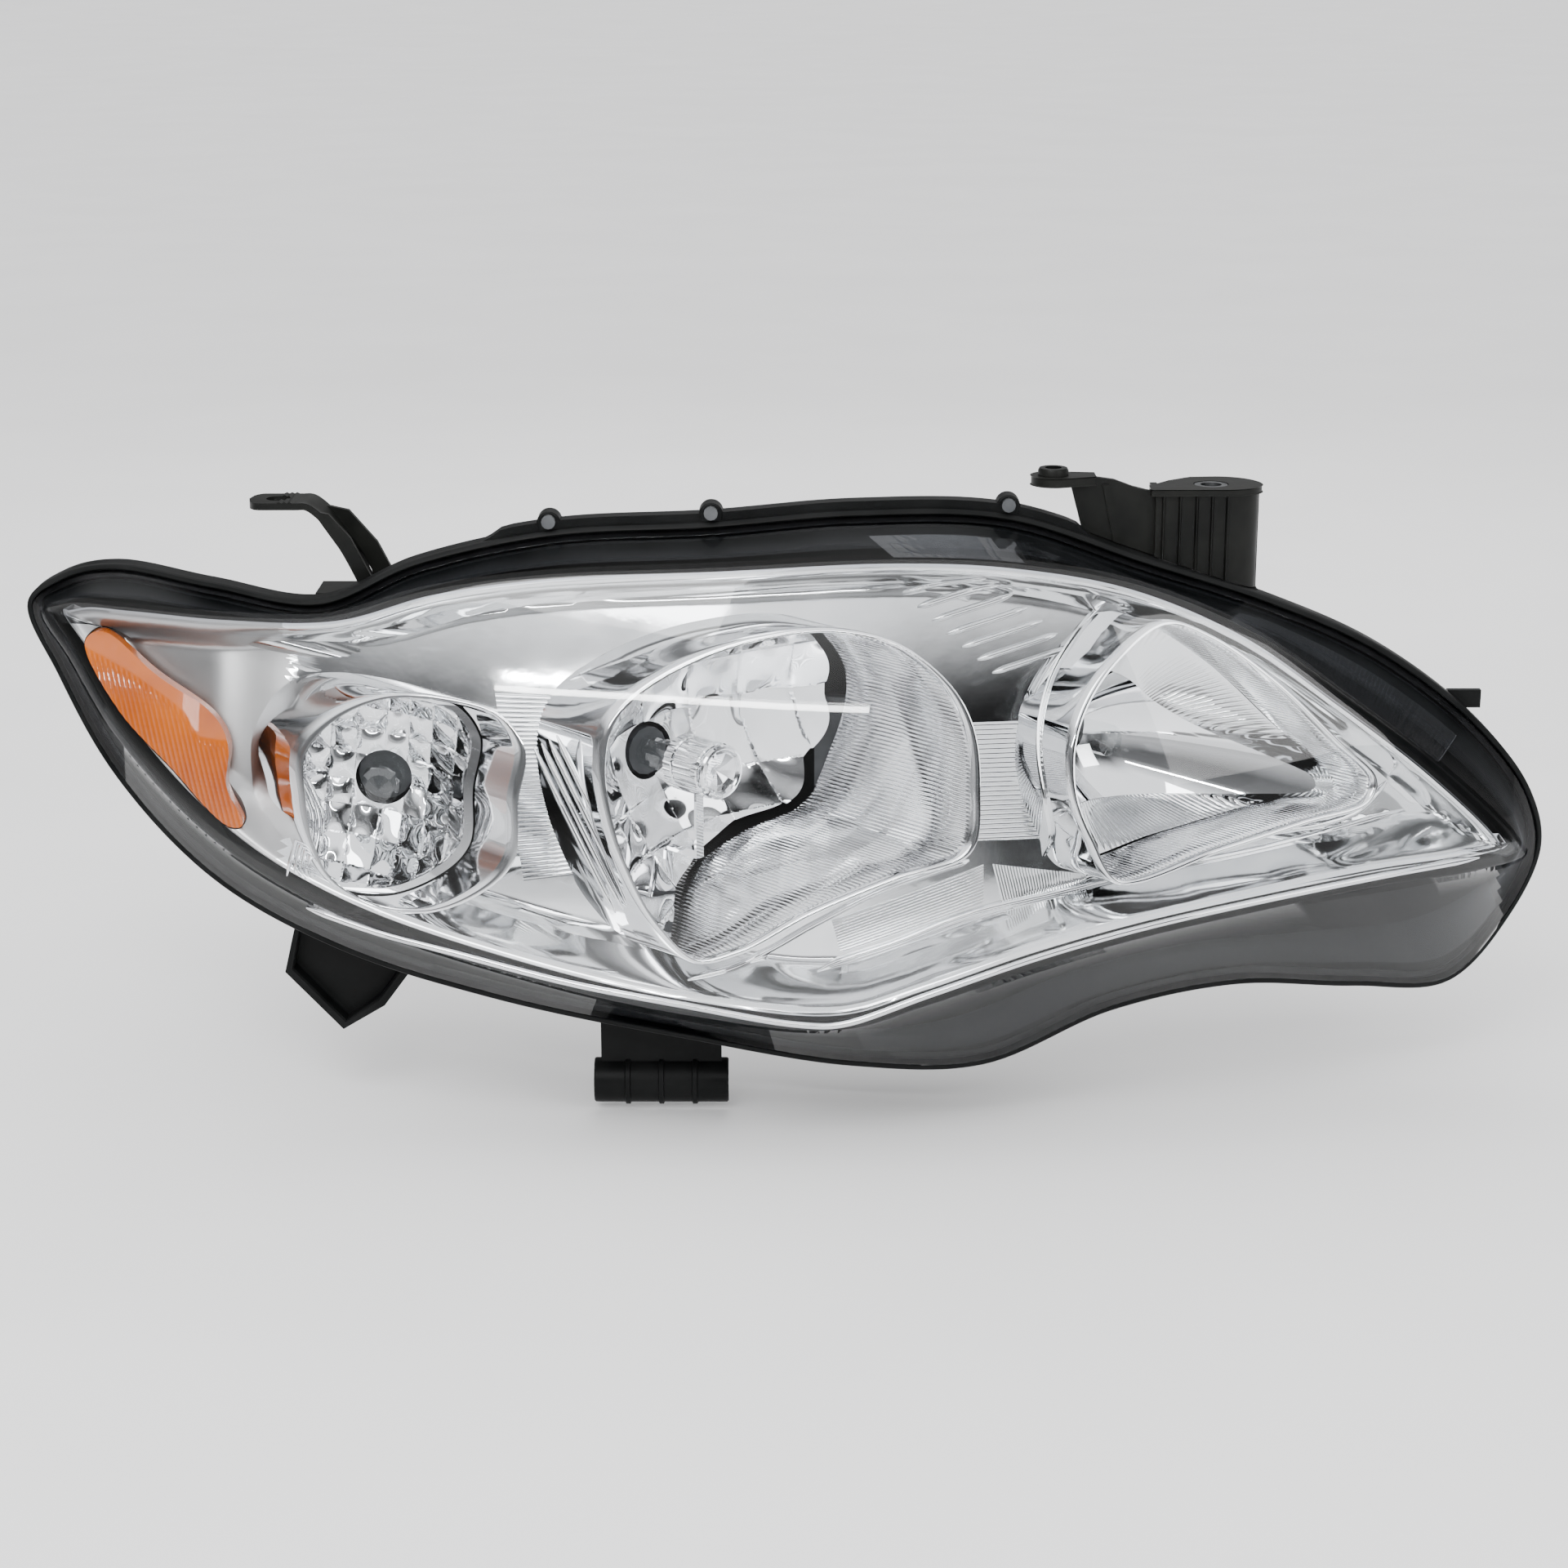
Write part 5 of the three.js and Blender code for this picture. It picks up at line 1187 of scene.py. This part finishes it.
lay(makeReflectorFrame(), finishes["greyPlastic"], "reflector", slot="mirror_plastic")
lay(makeInnerBracket(), finishes["blackSteel"], "housing_assembly", "upper_inner_bracket", slot="black_plastic")
lay(makeOuterBracket(), finishes["blackSteel"], "housing_assembly", "upper_outer_bracket", slot="black_plastic")
print("brackets made")

# camera, light and floor
studio = {
    "distance": 1.3,
    "elevation": math.radians(16),
    "focal": 73.125,  # mm, on a 36 mm sensor
    "floor": -0.262,
    "floorHalf": 40.0,
    "greyByHeight": ((0.0, 0.60), (0.48, 0.55), (0.53, 0.75), (0.62, 0.16), (0.70, 0.22), (0.79, 1.95), (1.0, 1.85)),
    "greyBySide": ((0.0, 1.0), (0.22, 1.0), (0.30, 0.10), (0.42, 0.10), (0.47, 1.0), (0.60, 1.0), (0.66, 0.12),
                   (0.74, 0.12), (0.80, 1.0), (1.0, 1.0)),
    "lights": {  # place and target in lamp millimetres, width and height in metres, power
        "key": ((-500, -1000, 1300), (0, 40, 0), 0.9, 0.7, 15),
        "fill": ((1100, -900, 600), (100, 40, 0), 0.6, 0.6, 5),
        "back": ((100, 1400, 900), (0, 60, 0), 1.2, 0.8, 7),
        "strip": ((-260, -1310, 735), (-50, 0, 30), 1.0, 0.022, 5),
    },
}


def makeCamera():
    aim = toRow(np.array([0.0, 0.0, 0.0]))
    e, a = studio["elevation"], -lamp["sweep"]
    back = np.array([math.sin(a) * math.cos(e), -math.cos(a) * math.cos(e), math.sin(e)])
    data = bpy.data.cameras.new("camera")
    data.lens, data.sensor_width = studio["focal"], 36.0
    camera = bpy.data.objects.new("camera", data)
    bpy.context.scene.collection.objects.link(camera)
    camera.location = aim + back * studio["distance"]
    camera.rotation_mode = "QUATERNION"
    camera.rotation_quaternion = Vector(-back).to_track_quat("-Z", "Y")
    bpy.context.scene.camera = camera


def softBox(name, place, target, width, height, power):
    data = bpy.data.lights.new(name, "AREA")
    data.shape, data.size, data.size_y, data.energy = "RECTANGLE", width, height, power
    light = bpy.data.objects.new(name, data)
    bpy.context.scene.collection.objects.link(light)
    start, end = toRow(np.array(place, float)), toRow(np.array(target, float))
    light.location = start
    light.rotation_mode = "QUATERNION"
    light.rotation_quaternion = Vector(end - start).to_track_quat("-Z", "Y")
    light.visible_glossy = name != "back"


def greyRamp(tree, source, stops, tint=1.0):  # grey by a direction's share, from -1 at the first stop to 1
    share = tree.nodes.new("ShaderNodeMapRange")
    share.inputs["From Min"].default_value = -1
    ramp = tree.nodes.new("ShaderNodeValToRGB")
    elements = ramp.color_ramp.elements
    while len(elements) < len(stops):
        elements.new(0.5)
    for element, (place, grey) in zip(elements, stops):
        element.position, element.color = place, (grey, grey, grey * tint, 1)
    tree.links.new(source, share.inputs["Value"])
    tree.links.new(share.outputs["Result"], ramp.inputs["Fac"])
    return ramp.outputs["Color"]


def makeWorld():
    # grey changes with height; low down it also comes in patches round the lamp for bright metal to mirror
    world = bpy.data.worlds.new("studio")
    world.use_nodes = True
    tree = world.node_tree
    where = tree.nodes.new("ShaderNodeTexCoord")
    split = tree.nodes.new("ShaderNodeSeparateXYZ")
    tree.links.new(where.outputs["Generated"], split.inputs["Vector"])
    low = tree.nodes.new("ShaderNodeMapRange")
    for name, value in (("From Min", 0.45), ("From Max", 0.65), ("To Min", 1.0), ("To Max", 0.0)):
        low.inputs[name].default_value = value
    tree.links.new(split.outputs["Z"], low.inputs["Value"])
    both = tree.nodes.new("ShaderNodeMixRGB")
    both.blend_type = "MULTIPLY"
    tree.links.new(low.outputs["Result"], both.inputs["Fac"])
    tree.links.new(greyRamp(tree, split.outputs["Z"], studio["greyByHeight"], 1.01), both.inputs["Color1"])
    tree.links.new(greyRamp(tree, split.outputs["X"], studio["greyBySide"]), both.inputs["Color2"])
    tree.links.new(both.outputs["Color"], tree.nodes["Background"].inputs["Color"])
    tree.nodes["Background"].inputs["Strength"].default_value = 1.0
    bpy.context.scene.world = world


def makeFloor():
    far, z = studio["floorHalf"], studio["floor"]
    sheet = bpy.data.meshes.new("floor")
    sheet.from_pydata([(-far, -far, z), (far, -far, z), (far, far, z), (-far, far, z)], [], [(0, 1, 2, 3)])
    ground = bpy.data.objects.new("floor", sheet)
    bpy.context.scene.collection.objects.link(ground)
    paper = finish("paper", (0.90, 0.90, 0.90), (0.93, 0.93, 0.93), (0.85, 0.95), 0, 6, 400, 0.02, 0.0002)
    ground.data.materials.append(paper)


makeCamera()
makeWorld()
for name, values in studio["lights"].items():
    softBox(name, *values)
makeFloor()
print("studio made")

# nodes that keep their shape
for names, key in (
    (("pivot_stud", "inner_bracket_screw_1", "inner_bracket_screw_2", "outer_bracket_screw_1",
      "outer_bracket_screw_2"), "zinc"),
    (("inner_bracket_bush", "lens_screw_1", "lens_screw_2", "lens_screw_3"), "darkZinc"),
    (("pivot_socket", "vertical_ball_socket", "horizontal_ball_socket", "vertical_adjuster_shaft",
      "horizontal_adjuster_shaft", "vertical_adjuster_knob", "horizontal_adjuster_knob"), "nylon"),
    (("vertical_adjuster_case", "horizontal_adjuster_case", "low_beam_bulb_base", "high_beam_bulb_base",
      "turn_socket", "marker_socket"), "greyPlastic"),
    (("low_beam_boot", "high_beam_boot", "low_beam_bulb_seal", "high_beam_bulb_seal", "turn_socket_seal",
      "marker_socket_seal", "breather_elbow", "breather_cap"), "rubber"),
    (("low_beam_bulb_glass", "high_beam_bulb_glass", "turn_bulb", "marker_bulb"), "bulbClear"),
):
    for name in names:
        for place in nodes[name].material_slots:
            place.material = finishes[key]
print("kept nodes finished")
